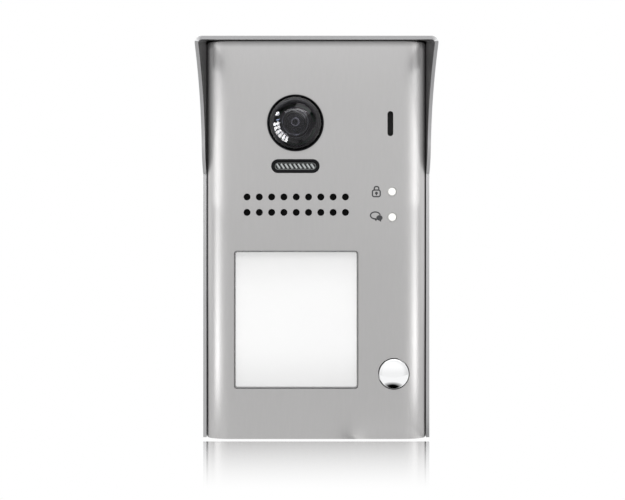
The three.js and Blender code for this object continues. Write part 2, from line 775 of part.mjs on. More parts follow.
function speakerCone() {
  const { frontY, backY, coilInner, coilOuter, coilBackY } = cone;
  const diaphragm = plate(grown(speakerOutline, -speakerWall - 2 * slideGap), frontY, backY);
  return diaphragm.add(ring(speaker, coilInner, coilOuter, backY - touchGap, coilBackY));
}

function speakerMagnet() {
  const { radius, frontY, backY, poleRadius, poleFrontY } = magnet;
  const pole = rod(speaker.x, speaker.z, poleRadius, poleFrontY, frontY + touchGap);
  return rod(speaker.x, speaker.z, radius, frontY, backY).add(pole);
}

function speakerGasket() {
  const backY = cushionFrontY + 1 - touchGap;
  const gasket = plate(grown(speakerOutline, 0), cushionFrontY, backY);
  const inside = grown(speakerOutline, -speakerWall - slideGap - touchGap);
  return gasket.subtract(plate(inside, cushionFrontY - pastSurface, backY + pastSurface));
}

function microphoneBoot() {
  const at = { x: micSlot.x, z: micSlot.z - micCapsule.drop };
  const { width, height, corner, backY, portRadius } = micBoot;
  const boot = plate(grown({ ...micSlot, width, height, corner }, 0), cushionFrontY, backY, 4);
  const cupRadius = micCapsule.radius + touchGap;
  const cup = rod(at.x, at.z, cupRadius, micCapsule.frontY - touchGap, backY + pastSurface);
  const port = rod(at.x, at.z, portRadius, cushionFrontY - pastSurface, micCapsule.frontY, 12);
  return boot.subtract(cup).subtract(port);
}

function microphone() {
  const { radius, drop, frontY, backY } = micCapsule;
  return rod(micSlot.x, micSlot.z - drop, radius, frontY, backY);
}

function statusLight(at) {
  const radius = statusLightRadius;
  const stem = radius - slideGap - touchGap;
  const flangeFrontY = behindSheetY + touchGap;
  const flangeBackY = behindSheetY + 1;
  const backY = boardFrontY - 2 * slideGap;
  const profile = [
    [0, faceY - 0.3],
    [radius * 0.7, faceY - 0.2],
    [radius, faceY],
    [radius, flangeFrontY],
    [radius + 1, flangeFrontY],
    [radius + 1, flangeBackY],
    [stem, flangeBackY],
    [stem, backY],
    [0, backY],
  ];
  return turned(at, profile, 16);
}

// ---- Name window ----

function nameHolder() {
  const frontY = behindSheetY + seatGap;
  const solid = plate(grown(nameWindow, 1.05), frontY, nameHolderBackY, 4);
  const inside = grown(nameWindow, slideGap + seatGap);
  return solid.subtract(plate(inside, frontY - pastSurface, diffuserBackY + slideGap, 4));
}

// ---- Call button ----

function callButton() {
  const { sphere, height } = capDome;
  return turned(button, [
    ...domePoints(faceY - height, sphere, capRadius, 6),
    [capRadius, capSkirtY],
    [capFlange.radius, capSkirtY],
    [capFlange.radius, capFlange.backY],
    [stemRadius, capFlange.backY],
    [stemRadius, stemEndY],
    [0, stemEndY],
  ], 32);
}

// The guide is moulded to follow the inside of the panel's flank.
function buttonGuide() {
  const { mouth, bore, body, flange, stem } = guideRadius;
  const { frontY, flangeBackY, stopY, floorY, backY } = guide;
  const profile = [
    [mouth, frontY],
    [flange, frontY],
    [flange, flangeBackY],
    [body, flangeBackY],
    [body, backY],
    [stem, backY],
    [stem, floorY],
    [bore, floorY],
    [bore, stopY],
    [mouth, stopY],
    [mouth, frontY],
  ];
  const reach = 2 * guideRadius.flange;
  const inside = columnZ(capSection(), button.z - reach, button.z + reach, 12);
  return turned(button, profile, 32).intersect(inside);
}

class Helix extends THREE.Curve {
  getPoint(t, target = new THREE.Vector3()) {
    const { radius, turns, startY, length } = springCoil;
    const angle = t * turns * 2 * Math.PI;
    const x = button.x + radius * Math.cos(angle);
    const z = button.z + radius * Math.sin(angle);
    return target.set(x, startY + t * length, z);
  }
}

function buttonSpring() {
  const wire = new THREE.Shape();
  wire.absarc(0, 0, springCoil.wire, 0, 2 * Math.PI);
  const options = { steps: 44, curveSegments: 2, extrudePath: new Helix() };
  return solidOf(new THREE.ExtrudeGeometry(wire, options));
}

function stemSeal() {
  const { inner, outer, frontY, backY } = stemSealRing;
  return ring(button, inner, outer, frontY, backY, 20);
}

function switchBody() {
  const body = boxAround(switchBox, 0, switchFrontY, boardFrontY - seatGap);
  const wellRadius = plunger.radius + slideGap;
  const wellDepths = [switchFrontY - pastSurface, plunger.backY + 0.5];
  return body.subtract(rod(button.x, button.z, wellRadius, ...wellDepths, 16));
}

function switchPlunger() {
  return rod(button.x, button.z, plunger.radius, plunger.frontY, plunger.backY, 16);
}

// ---- Connections in the rear pocket ----

function terminalAt(index) {
  const x = terminalBlock.x + (index - (terminalCount - 1) / 2) * terminalPitch;
  return { x, z: terminalBlock.z };
}

function terminals() {
  const { backY, z, height } = terminalBlock;
  const below = z - height / 2 - pastSurface;
  let body = boxAround(terminalBlock, 0, boardBackY + touchGap, backY);
  for (let i = 0; i < terminalCount; i += 1) {
    const at = terminalAt(i);
    const well = rod(at.x, at.z, terminalWell.radius, terminalWell.floorY, 0, 16);
    const entry = rodZ(at.x, wireEntry.y, wireEntry.radius, below, z, 12);
    body = body.subtract(well).subtract(entry);
  }
  return body;
}

function terminalScrew(index) {
  const at = terminalAt(index);
  const { radius, frontY, backY, slotY, slotWidth } = clampScrew;
  const slot = slotRecess(at, 2 * radius + pastSurface, slotWidth, slotY, 0);
  return rod(at.x, at.z, radius, frontY, backY, 16).subtract(slot);
}

function dipLeverAt(index) {
  return { x: dipSwitch.x + (index - 0.5) * dipSwitch.pitch, z: dipSwitch.z - dipTravel / 2 };
}

function dipSwitchBody() {
  const width = dipLeverSize.width + 0.6;
  const height = dipLeverSize.height + dipTravel + 0.4;
  let body = boxAround(dipSwitch, 0, boardBackY + touchGap, dipSwitch.backY);
  for (let i = 0; i < 2; i += 1) {
    const at = { x: dipLeverAt(i).x, z: dipSwitch.z, width, height };
    body = body.subtract(boxAround(at, 0, dipFloorY, 0));
  }
  return body;
}

function dipLever(index) {
  const { frontY, backY } = dipLeverSize;
  return boxAround({ ...dipLeverSize, ...dipLeverAt(index) }, 0, frontY, backY);
}

function trimmerBody() {
  const body = boxAround(trimmer, 0, boardBackY + touchGap, trimmer.backY);
  const wellRadius = trimmer.rotorRadius + slideGap;
  return body.subtract(rod(trimmer.x, trimmer.z, wellRadius, rotor.wellY, 0));
}

function volumeRotor() {
  const { frontY, backY, slotY, slotWidth } = rotor;
  const disc = rod(trimmer.x, trimmer.z, trimmer.rotorRadius, frontY, backY);
  return disc.subtract(slotRecess(trimmer, 2 * trimmer.rotorRadius + 1, slotWidth, slotY, 0));
}

// ---- Assembly ----

add('rain_hood', rainHood(), hoodAluminium);
add('mounting_bracket', mountingBracket(), steel);
add('bracket_rivet_left', bracketRivet(-1), steel);
add('bracket_rivet_right', bracketRivet(1), steel);
add('security_screw', securityScrewSolid(), steel);
add('front_panel', frontPanel(), aluminium);
add('top_end_cap', endCap(1), greyPlastic);
add('bottom_end_cap', bottomEndCap(), greyPlastic);
add('rear_cover', rearCover(), blackPlastic);
add('rear_gasket', rearGasket(), blackRubber);
corners(coverScrew).forEach((at, i) => add(`cover_screw_${i + 1}`, coverScrewAt(at), steel));
add('main_board', mainBoard(), boardGreen);

add('camera_dome', cameraDome(), darkDome);
add('dome_bezel', domeBezel(), blackPlastic);
add('dome_seal', domeSeal(), blackRubber);
add('camera_bracket', cameraBracket(), blackPlastic);
add('camera_cradle', cameraCradle(), blackPlastic);
add('lens_barrel', lensBarrel(), blackPlastic);
add('front_lens', frontLens(), clearPlastic);
add('sensor_board', boxAround(sensorBoard, 0, -18.4, -17.2), boardGreen);

add('led_window', ledLens(), clearPlastic);
add('led_window_bezel', ledWindowBezel(), blackPlastic);
add('led_board', ledBoard(), boardGreen);
for (let i = 0; i < emitterCount; i += 1) add(`light_emitter_${i + 1}`, emitter(i), whiteLight);

add('speaker_mesh', plate(grown(speakerMesh, 0), meshFrontY, meshBackY, 3), steel);
add('speaker_gasket', speakerGasket(), blackRubber);
add('speaker_frame', speakerFrame(), blackPlastic);
add('speaker_cone', speakerCone(), conePaper);
add('speaker_magnet', speakerMagnet(), steel);

add('microphone_membrane', plate(grown(micSlot, 1.8), meshFrontY, meshBackY, 4), blackRubber);
add('microphone_boot', microphoneBoot(), blackRubber);
add('microphone', microphone(), steel);
add('unlock_light', statusLight(unlockLight), whiteLight);
add('talk_light', statusLight(talkLight), whiteLight);

const nameWindowBackY = faceY + nameWindowThickness;
const nameInside = grown(nameWindow, -nameInset);
add('name_window', plate(grown(nameWindow, 0), faceY, nameWindowBackY, 4), clearPlastic);
add('name_card', plate(nameInside, cardFrontY, cardBackY, 4), paper);
add('name_diffuser', plate(nameInside, diffuserFrontY, diffuserBackY, 4), clearPlastic);
add('name_holder', nameHolder(), blackPlastic);

add('call_button', callButton(), chrome);
add('button_guide', buttonGuide(), blackPlastic);
add('stem_seal', stemSeal(), blackRubber);
add('button_spring', buttonSpring(), steel);
add('switch_body', switchBody(), blackPlastic);
add('switch_plunger', switchPlunger(), cream);

add('terminal_block', terminals(), terminalGreen);
for (let i = 0; i < terminalCount; i += 1) add(`terminal_screw_${i + 1}`, terminalScrew(i), brass);
add('dip_switch', dipSwitchBody(), blackPlastic);
for (let i = 0; i < 2; i += 1) add(`dip_lever_${i + 1}`, dipLever(i), cream);
add('volume_trimmer', trimmerBody(), greyPlastic);
add('volume_rotor', volumeRotor(), cream);

export default group;
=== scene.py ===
import json
import math
import bmesh
import bpy
from mathutils import Matrix, Vector

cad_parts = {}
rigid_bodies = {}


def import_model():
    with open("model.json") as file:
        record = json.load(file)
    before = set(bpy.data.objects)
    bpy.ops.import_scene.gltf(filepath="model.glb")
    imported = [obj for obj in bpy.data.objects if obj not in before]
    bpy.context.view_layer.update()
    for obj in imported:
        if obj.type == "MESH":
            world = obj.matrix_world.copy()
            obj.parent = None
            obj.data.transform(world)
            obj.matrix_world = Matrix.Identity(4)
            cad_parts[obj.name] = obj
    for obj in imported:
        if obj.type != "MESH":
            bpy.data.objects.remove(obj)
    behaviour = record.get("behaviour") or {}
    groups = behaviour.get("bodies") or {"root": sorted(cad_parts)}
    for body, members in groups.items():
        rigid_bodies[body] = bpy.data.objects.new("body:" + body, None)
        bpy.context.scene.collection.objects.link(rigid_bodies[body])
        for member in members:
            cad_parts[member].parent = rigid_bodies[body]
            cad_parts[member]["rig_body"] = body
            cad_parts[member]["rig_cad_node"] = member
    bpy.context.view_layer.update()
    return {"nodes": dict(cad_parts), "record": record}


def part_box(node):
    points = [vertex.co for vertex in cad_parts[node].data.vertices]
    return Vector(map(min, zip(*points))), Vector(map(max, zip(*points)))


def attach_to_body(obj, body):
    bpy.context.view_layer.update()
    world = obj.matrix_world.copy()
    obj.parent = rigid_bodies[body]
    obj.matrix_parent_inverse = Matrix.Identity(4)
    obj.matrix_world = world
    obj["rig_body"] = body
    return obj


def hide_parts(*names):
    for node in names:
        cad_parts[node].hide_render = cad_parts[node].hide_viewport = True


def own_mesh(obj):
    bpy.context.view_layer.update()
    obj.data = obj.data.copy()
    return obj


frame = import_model()

mm = 0.001
level = 0.001 * mm  # points closer than this count as level
weld = 0.002 * mm  # points closer than this are merged
hair = 0.01 * mm  # a full rounding stops this short of the middle
clear = 1 * mm  # how far a cutting piece stands out of what it cuts
scene = bpy.context.scene
print("frame loaded:", len(frame["nodes"]), "nodes")


# small tools

def deselectAll():
    for item in list(bpy.context.selected_objects):
        item.select_set(False)


def activate(piece):
    deselectAll()
    piece.select_set(True)
    bpy.context.view_layer.objects.active = piece
    return piece


def settle(piece):
    # the object goes to the origin and its place goes into its mesh
    activate(piece)
    bpy.ops.object.transform_apply(location=True, rotation=True, scale=True)
    return piece


def addBox(name, low, high):
    centre = [(a + b) / 2 for a, b in zip(low, high)]
    bpy.ops.mesh.primitive_cube_add(size=1, location=centre)
    piece = bpy.context.active_object
    piece.name = name
    piece.scale = [b - a for a, b in zip(low, high)]
    return settle(piece)


def addDisc(name, x, z, radius, front, back, sides=64):
    bpy.ops.mesh.primitive_cylinder_add(
        vertices=sides, radius=radius, depth=back - front,
        location=(x, (front + back) / 2, z), rotation=(math.pi / 2, 0, 0))
    piece = bpy.context.active_object
    piece.name = name
    return settle(piece)


def openEdit(piece, mode="EDGE"):
    activate(piece)
    bpy.ops.object.mode_set(mode="EDIT")
    bpy.ops.mesh.select_mode(type=mode)
    bpy.ops.mesh.select_all(action="DESELECT")


def closeEdit():
    bpy.ops.object.mode_set(mode="OBJECT")


def pickEdges(piece, test):
    # test reads the two ends of each edge
    mesh = bmesh.from_edit_mesh(piece.data)
    for edge in mesh.edges:
        if test(edge.verts[0].co, edge.verts[1].co):
            edge.select_set(True)
    bmesh.update_edit_mesh(piece.data)


def pickFaces(piece, test):
    # test reads the middle and the normal of each face
    mesh = bmesh.from_edit_mesh(piece.data)
    mesh.normal_update()
    for face in mesh.faces:
        if test(face.calc_center_median(), face.normal):
            face.select_set(True)
    bmesh.update_edit_mesh(piece.data)


def alongY(a, b):
    return abs(a.x - b.x) < level and abs(a.z - b.z) < level


def alongZ(a, b):
    return abs(a.x - b.x) < level and abs(a.y - b.y) < level


def roundCorners(piece, radius, segments=8, test=alongY):
    openEdit(piece)
    pickEdges(piece, test)
    bpy.ops.mesh.bevel(offset=radius, offset_type="OFFSET", segments=segments,
                       profile=0.5, affect="EDGES")
    closeEdit()
    return piece


def roundedPlate(name, x, z, width, height, radius, front, back, segments=8):
    low = (x - width / 2, front, z - height / 2)
    high = (x + width / 2, back, z + height / 2)
    return roundCorners(addBox(name, low, high), radius, segments)


def fullRound(name, x, z, width, height, front, back, segments):
    # a plate whose two short sides are half circles
    return roundedPlate(name, x, z, width, height, min(width, height) / 2 - hair, front, back,
                        segments)


def modify(piece, kind, **values):
    activate(piece)
    modifier = piece.modifiers.new(kind.title(), kind)
    for key, value in values.items():
        setattr(modifier, key, value)
    bpy.ops.object.modifier_apply(modifier=modifier.name)
    return piece


def joinAll(pieces, name):
    deselectAll()
    for item in pieces:
        item.select_set(True)
    bpy.context.view_layer.objects.active = pieces[0]
    if len(pieces) > 1:
        bpy.ops.object.join()
    pieces[0].name = name
    return pieces[0]


def combine(piece, others, operation="DIFFERENCE"):
    tool = joinAll(others, piece.name + "Tool")
    modify(piece, "BOOLEAN", object=tool, operation=operation, solver="EXACT")
    bpy.data.objects.remove(tool)
    return piece


def softenEdges(piece, width, segments=2, angle=35):
    modify(piece, "BEVEL", width=width, segments=segments, limit_method="ANGLE",
           angle_limit=math.radians(angle), use_clamp_overlap=True,
           harden_normals=False, miter_outer="MITER_ARC")
    return piece


def smooth(piece, angle=32):
    # flat faces keep flat normals beside the rounded ones
    activate(piece)
    bpy.ops.object.shade_smooth_by_angle(angle=math.radians(angle))
    modify(piece, "WEIGHTED_NORMAL", keep_sharp=True, weight=100)
    return piece


def tidyMesh(piece, threshold=weld):
    openEdit(piece, "VERT")
    bpy.ops.mesh.select_all(action="SELECT")
    bpy.ops.mesh.remove_doubles(threshold=threshold)
    bpy.ops.mesh.normals_make_consistent(inside=False)
    closeEdit()
    return piece


def drawnLine(name, start, points):
    # a plane merged to one vertex, which is then drawn out point by point
    bpy.ops.mesh.primitive_plane_add(size=mm, location=start)
    piece = bpy.context.active_object
    piece.name = name
    settle(piece)
    openEdit(piece, "VERT")
    bpy.ops.mesh.select_all(action="SELECT")
    bpy.ops.mesh.merge(type="CENTER")
    last = Vector(start)
    for point in points:
        step = Vector(point) - last
        bpy.ops.mesh.extrude_region_move(TRANSFORM_OT_translate={"value": step})
        last = Vector(point)
    bpy.ops.mesh.select_all(action="SELECT")
    return piece


def spunPiece(name, at, profile, steps=96):
    # an outline of [radius, y] points is spun round the axis at x, z
    x, z = at
    line = [(x + radius, y, z) for radius, y in profile]
    piece = drawnLine(name, line[0], line[1:])
    bpy.ops.mesh.spin(steps=steps, angle=2 * math.pi, center=(x, 0, z), axis=(0, 1, 0))
    closeEdit()
    return tidyMesh(piece)


def arcPoints(centre, radius, start, end, steps):
    # [radius, y] points on an arc, angles in degrees from the axis outwards
    angles = [math.radians(start + (end - start) * i / steps) for i in range(steps + 1)]
    return [(centre[0] + radius * math.sin(angle), centre[1] - radius * math.cos(angle))
            for angle in angles]


def capAngle(radius, sphere):
    # degrees from the axis to a circle of this radius on a sphere
    return math.degrees(math.asin(radius / sphere))


def markSpread(piece, centre, reach):
    # how far each point lies from the centre, for materials that fade outwards
    layer = piece.data.attributes.new("fromCentre", "FLOAT", "POINT")
    for point, entry in zip(piece.data.vertices, layer.data):
        entry.value = math.hypot((point.co.x - centre[0]) / reach[0],
                                 (point.co.z - centre[1]) / reach[1])
    return piece


def middle(node):
    low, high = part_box(node)
    return (low + high) / 2


def sizeOf(node):
    low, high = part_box(node)
    return high - low


# shader tools

def plug(tree, value, socket):
    # a number or a colour is set, anything else is linked
    if isinstance(value, (int, float, tuple)):
        socket.default_value = value
    else:
        tree.links.new(value, socket)


def mathNode(tree, operation, first, second):
    node = tree.nodes.new("ShaderNodeMath")
    node.operation = operation
    plug(tree, first, node.inputs[0])
    plug(tree, second, node.inputs[1])
    return node.outputs[0]


def vectorNode(tree, operation, first, second, output):
    node = tree.nodes.new("ShaderNodeVectorMath")
    node.operation = operation
    plug(tree, first, node.inputs[0])
    plug(tree, second, node.inputs[1])
    return node.outputs[output]


def rangeNode(tree, value, start, end, first=0.0, last=1.0, steps="LINEAR"):
    # start to end becomes first to last, and stays level beyond
    node = tree.nodes.new("ShaderNodeMapRange")
    node.interpolation_type = steps
    for label, number in (("From Min", start), ("From Max", end), ("To Min", first),
                          ("To Max", last), ("Value", value)):
        plug(tree, number, node.inputs[label])
    return node.outputs[0]


def clampNode(tree, value):
    node = tree.nodes.new("ShaderNodeClamp")
    plug(tree, value, node.inputs["Value"])
    return node.outputs[0]


def mixNode(tree, factor, first, second, blend="MIX"):
    node = tree.nodes.new("ShaderNodeMix")
    node.data_type = "RGBA"
    node.blend_type = blend
    for label, value in (("Factor", factor), ("A", first), ("B", second)):
        plug(tree, value, node.inputs[label])
    return node.outputs["Result"]


def objectPlace(tree):
    return tree.nodes.new("ShaderNodeTexCoord").outputs["Object"]


def axisOf(tree, vector, axis):
    split = tree.nodes.new("ShaderNodeSeparateXYZ")
    tree.links.new(vector, split.inputs[0])
    return split.outputs[axis]


def noiseNode(tree, place, scale, **levels):
    node = tree.nodes.new("ShaderNodeTexNoise")
    plug(tree, place, node.inputs["Vector"])
    plug(tree, scale, node.inputs["Scale"])
    for label, value in levels.items():
        plug(tree, value, node.inputs[label])
    return node.outputs["Fac"]


# shared shader groups

def newGroup(name, inputs, outputs):
    tree = bpy.data.node_groups.new(name, "ShaderNodeTree")
    for label, kind, value in inputs:
        socket = tree.interface.new_socket(label, in_out="INPUT", socket_type=kind)
        socket.default_value = value
    for label in outputs:
        tree.interface.new_socket(label, in_out="OUTPUT", socket_type="NodeSocketFloat")
    given = tree.nodes.new("NodeGroupInput").outputs
    return tree, given, tree.nodes.new("NodeGroupOutput").inputs


def makeGrainGroup():
    # a stretched noise on the object's own coordinates, as a height and a tone
    tree, given, result = newGroup(
        "fineGrain",
        [("Scale", "NodeSocketFloat", 900.0), ("Stretch", "NodeSocketVector", (1, 1, 1)),
         ("Detail", "NodeSocketFloat", 3.0), ("Contrast", "NodeSocketFloat", 1.0)],
        ["Height", "Tone"])
    place = vectorNode(tree, "MULTIPLY", objectPlace(tree), given["Stretch"], "Vector")
    noise = noiseNode(tree, place, given["Scale"], Detail=given["Detail"])
    centred = mathNode(tree, "SUBTRACT", noise, 0.5)
    plug(tree, noise, result["Height"])
    plug(tree, mathNode(tree, "MULTIPLY", centred, given["Contrast"]), result["Tone"])
    return tree


def makeEdgeGroup():
    # where a rounded normal leaves the true one there is an edge, broken up by noise
    tree, given, result = newGroup(
        "edgeWear",
        [("Radius", "NodeSocketFloat", 0.0003), ("Break Up", "NodeSocketFloat", 600.0),
         ("Strength", "NodeSocketFloat", 1.0)],
        ["Mask"])
    rounded = tree.nodes.new("ShaderNodeBevel")
    rounded.samples = 4
    plug(tree, given["Radius"], rounded.inputs["Radius"])
    flat = tree.nodes.new("ShaderNodeNewGeometry")
    along = vectorNode(tree, "DOT_PRODUCT", rounded.outputs[0], flat.outputs["Normal"], "Value")
    noise = noiseNode(tree, objectPlace(tree), given["Break Up"], Detail=4)
    turned = mathNode(tree, "SUBTRACT", 1.0, along)
    strong = mathNode(tree, "MULTIPLY", turned, 6.0)
    broken = mathNode(tree, "MULTIPLY", strong, noise)
    mask = mathNode(tree, "MULTIPLY", broken, given["Strength"])
    plug(tree, clampNode(tree, mask), result["Mask"])
    return tree


def makeHandlingGroup():
    # broad soft patches left by hands and cloths
    tree, given, result = newGroup(
        "handlingMarks",
        [("Scale", "NodeSocketFloat", 35.0), ("Amount", "NodeSocketFloat", 0.08)],
        ["Mask"])
    broad = noiseNode(tree, objectPlace(tree), given["Scale"], Detail=5, Roughness=0.6,
                      Distortion=0.4)
    centred = mathNode(tree, "SUBTRACT", broad, 0.5)
    plug(tree, mathNode(tree, "MULTIPLY", centred, given["Amount"]), result["Mask"])
    return tree


def makePaintedShadeGroup():
    # how closed in a spot is, the mask for painted shade: little light reaches such a spot
    tree, given, result = newGroup(
        "paintedCreviceShade",
        [("Distance", "NodeSocketFloat", 0.01), ("Strength", "NodeSocketFloat", 1.0),
         ("Threshold", "NodeSocketFloat", 0.1)],
        ["Mask"])
    closed = tree.nodes.new("ShaderNodeAmbientOcclusion")
    closed.samples = 8
    plug(tree, given["Distance"], closed.inputs["Distance"])
    hidden = mathNode(tree, "SUBTRACT", 1.0, closed.outputs["AO"])
    over = mathNode(tree, "SUBTRACT", hidden, given["Threshold"])
    strong = mathNode(tree, "MULTIPLY", over, given["Strength"])
    plug(tree, clampNode(tree, strong), result["Mask"])
    return tree


grainGroup = makeGrainGroup()
paintedShadeGroup = makePaintedShadeGroup()
edgeGroup = makeEdgeGroup()
handlingGroup = makeHandlingGroup()
print("shader groups built")


# materials

def placeGroup(tree, group, **values):
    node = tree.nodes.new("ShaderNodeGroup")
    node.node_tree = group
    for label, value in values.items():
        node.inputs[label.replace("_", " ")].default_value = value
    return node


def finishMaterial(name, colour, roughness, metallic=0.0, grain=(900, (1, 1, 1), 0.00002),
                   tone=0.05, handling=0.08, wear=(0.0003, 0.35), wornColour=None,
                   shadeInCrevices=None, **sockets):
    # the common build: colour with grain and worn edges, uneven gloss and a fine bump, and where
    # asked painted shade, nearly black, in the crevices grain is its scale, its stretch and the
    # height of the bump; wear is the width of an edge and its strength; the painted crevice shade
    # is reach, strength, threshold and lowest z
    material = bpy.data.materials.new(name)
    material.use_nodes = True
    tree = material.node_tree
    shader = tree.nodes["Principled BSDF"]
    shader.inputs["Metallic"].default_value = metallic
    for label, value in sockets.items():
        shader.inputs[label.replace("_", " ")].default_value = value
    scale, stretch, height = grain
    fine = placeGroup(tree, grainGroup, Scale=scale, Stretch=stretch, Contrast=tone)
    marks = placeGroup(tree, handlingGroup, Amount=handling)
    edges = placeGroup(tree, edgeGroup, Radius=wear[0], Strength=wear[1])
    # colour times one plus the tone, then the worn colour over the edges
    lift = mathNode(tree, "ADD", fine.outputs["Tone"], 1.0)
    toned = mixNode(tree, 1.0, (*colour, 1), lift, "MULTIPLY")
    brighter = wornColour or [min(1, c * 1.5 + 0.02) for c in colour]
    seen = mixNode(tree, edges.outputs["Mask"], toned, (*brighter, 1))
    if shadeInCrevices:
        seen = paintCreviceShade(tree, seen, colour, *shadeInCrevices)
    tree.links.new(seen, shader.inputs["Base Color"])
    rough = mathNode(tree, "ADD", marks.outputs["Mask"], roughness)
    rougher = mathNode(tree, "ADD", rough, mathNode(tree, "MULTIPLY", fine.outputs["Tone"], 0.6))
    tree.links.new(rougher, shader.inputs["Roughness"])
    bump = tree.nodes.new("ShaderNodeBump")
    bump.inputs["Strength"].default_value = 1.0
    bump.inputs["Distance"].default_value = height
    tree.links.new(fine.outputs["Height"], bump.inputs["Height"])
    tree.links.new(bump.outputs[0], shader.inputs["Normal"])
    return material


def paintCreviceShade(tree, seen, colour, reach, strength, threshold, lowest):
    # painted shade: nearly black in the gaps, for the camera only, and only above the lowest z,
    # so that a surface the part stands on leaves no dark edge
    shade = placeGroup(tree, paintedShadeGroup, Distance=reach, Strength=strength,
                       Threshold=threshold)
    rise = rangeNode(tree, axisOf(tree, objectPlace(tree), "Z"), lowest, lowest + reach)
    path = tree.nodes.new("ShaderNodeLightPath")
    shown = mathNode(tree, "MULTIPLY", rise, path.outputs["Is Camera Ray"])
    factor = mathNode(tree, "MULTIPLY", shade.outputs["Mask"], shown)
    return mixNode(tree, factor, seen, (*[c * 0.02 for c in colour], 1))


finishes = {
    # painted shade, nearly black for the camera, on the inside of the fins and under the roof
    "hood_aluminium": finishMaterial(
        "satinHoodSheet", (0.39, 0.39, 0.395), roughness=0.42, metallic=1.0,
        grain=(1500, (1, 1, 0.15), 0.000006), tone=0.07, handling=0.06, wear=(0.0004, 0.35),
        shadeInCrevices=(0.03, 4.0, 0.13, -0.06)),
    # painted shade for the camera in the sheet's gaps, under the roof and beside the fins
    "panel_aluminium": finishMaterial(
        "satinPanelExtrusion", (0.42, 0.415, 0.414), roughness=0.34, metallic=1.0,
        grain=(1500, (1, 1, 0.12), 0.000006), tone=0.06, handling=0.05, wear=(0.0004, 0.35),
        shadeInCrevices=(0.0036, 1.5, 0.12, -0.081)),
    "bracket_steel": finishMaterial(
        "zincPlatedSteel", (0.50, 0.51, 0.53), roughness=0.38, metallic=1.0,
        grain=(500, (1, 1, 1), 0.00001), tone=0.18, handling=0.15),
    "fixing_steel": finishMaterial(
        "brightFixingSteel", (0.62, 0.62, 0.61), roughness=0.25, metallic=1.0,
        grain=(900, (1, 1, 1), 0.000004), tone=0.1, handling=0.1),
    "spring_steel": finishMaterial(
        "drawnSpringWire", (0.55, 0.55, 0.54), roughness=0.3, metallic=1.0,
        grain=(1200, (1, 4, 1), 0.000004), tone=0.1, handling=0.1),
    # near black, dull and with little gloss: the dark seen through the speaker holes is painted
    # shade
    "speaker_steel": finishMaterial(
        "speakerSteelPaintedShade", (0.004, 0.004, 0.004), roughness=0.7, grain=(2500, (1, 1, 1), 0.00003),
        tone=0.5, handling=0.1, Specular_IOR_Level=0.1),
    "lens_metal": finishMaterial(
        "blackLensBarrel", (0.012, 0.012, 0.014), roughness=0.35, metallic=0.3,
        grain=(1500, (1, 1, 1), 0.00001), tone=0.2, handling=0.1, wornColour=(0.3, 0.3, 0.3)),
    "button_chrome": finishMaterial(
        "polishedChrome", (0.93, 0.935, 0.94), roughness=0.05, metallic=1.0,
        grain=(300, (1, 1, 1), 0.000001), tone=0.01, handling=0.02, wear=(0.0003, 0.05)),
    "bezel_plastic": finishMaterial(
        "glossBlackBezel", (0.008, 0.008, 0.009), roughness=0.16,
        grain=(700, (1, 1, 1), 0.000004), tone=0.1, handling=0.08, wear=(0.0002, 0.12),
        wornColour=(0.06, 0.06, 0.065), Specular_IOR_Level=0.08),
    "opal_plastic": finishMaterial(
        "opalLightGuide", (0.92, 0.92, 0.92), roughness=0.4, grain=(600, (1, 1, 1), 0.00001),
        tone=0.03, handling=0.05),
    "end_cap_plastic": finishMaterial(
        "mouldedGreyCap", (0.19, 0.195, 0.2), roughness=0.52, grain=(1400, (1, 1, 1), 0.00004),
        tone=0.12, handling=0.1),
    "rear_plastic": finishMaterial(
        "mouldedBlackCover", (0.022, 0.022, 0.024), roughness=0.5,
        grain=(1400, (1, 1, 1), 0.00005), tone=0.2, handling=0.12, wornColour=(0.08, 0.08, 0.085)),
    "inner_plastic": finishMaterial(
        "mouldedInnerPart", (0.018, 0.018, 0.02), roughness=0.45,
        grain=(1500, (1, 1, 1), 0.00003), tone=0.2, handling=0.1, wornColour=(0.07, 0.07, 0.075)),
    "cream_plastic": finishMaterial(
        "creamPlastic", (0.78, 0.74, 0.62), roughness=0.4, grain=(1200, (1, 1, 1), 0.00002),
        tone=0.06, handling=0.1),
    "terminal_plastic": finishMaterial(
        "greenTerminalPlastic", (0.03, 0.24, 0.08), roughness=0.42,
        grain=(1200, (1, 1, 1), 0.00003), tone=0.12, handling=0.1),
    "terminal_brass": finishMaterial(
        "terminalBrass", (0.60, 0.44, 0.18), roughness=0.3, metallic=1.0,
        grain=(900, (1, 1, 1), 0.00001), tone=0.15, handling=0.12),
    "circuit_board": finishMaterial(
        "solderMask", (0.01, 0.11, 0.045), roughness=0.3, grain=(350, (1, 1, 1), 0.00002),
        tone=0.35, handling=0.1, wornColour=(0.5, 0.42, 0.2)),
    "cone_paper": finishMaterial(
        "pressedConePaper", (0.03, 0.03, 0.032), roughness=0.85, grain=(2200, (1, 1, 1), 0.00006),
        tone=0.4, handling=0.05),
    "membrane_fabric": finishMaterial(
        "acousticCloth", (0.012, 0.012, 0.012), roughness=0.95, grain=(3500, (1, 1, 1), 0.00006),
        tone=0.5, handling=0.02),
    "seal_rubber": finishMaterial(
        "siliconeRubber", (0.02, 0.02, 0.021), roughness=0.78, grain=(1000, (1, 1, 1), 0.00003),
        tone=0.2, handling=0.08),
}


def clearMaterial(name, colour, alpha, roughness=0.06):
    # thin clear plastic: mostly let through, with its own gloss on top
    material = finishMaterial(name, colour, roughness, grain=(250, (1, 1, 1), 0.000001),
                              tone=0.02, handling=0.03, wear=(0.0003, 0.1), IOR=1.49,
                              Coat_Weight=1.0, Coat_Roughness=0.02)
    material.node_tree.nodes["Principled BSDF"].inputs["Alpha"].default_value = alpha
    return material


def smokedMaterial():
    # tinted clear dome with an anti-glare skin: what is inside shows faintly
    return finishMaterial("smokedDome", (0.30, 0.30, 0.34), 0.008,
                          grain=(200, (1, 1, 1), 0.0000003), tone=0.02, handling=0.005,
                          wear=(0.0003, 0.05), IOR=1.34, Transmission_Weight=1.0,
                          Specular_IOR_Level=0.12)


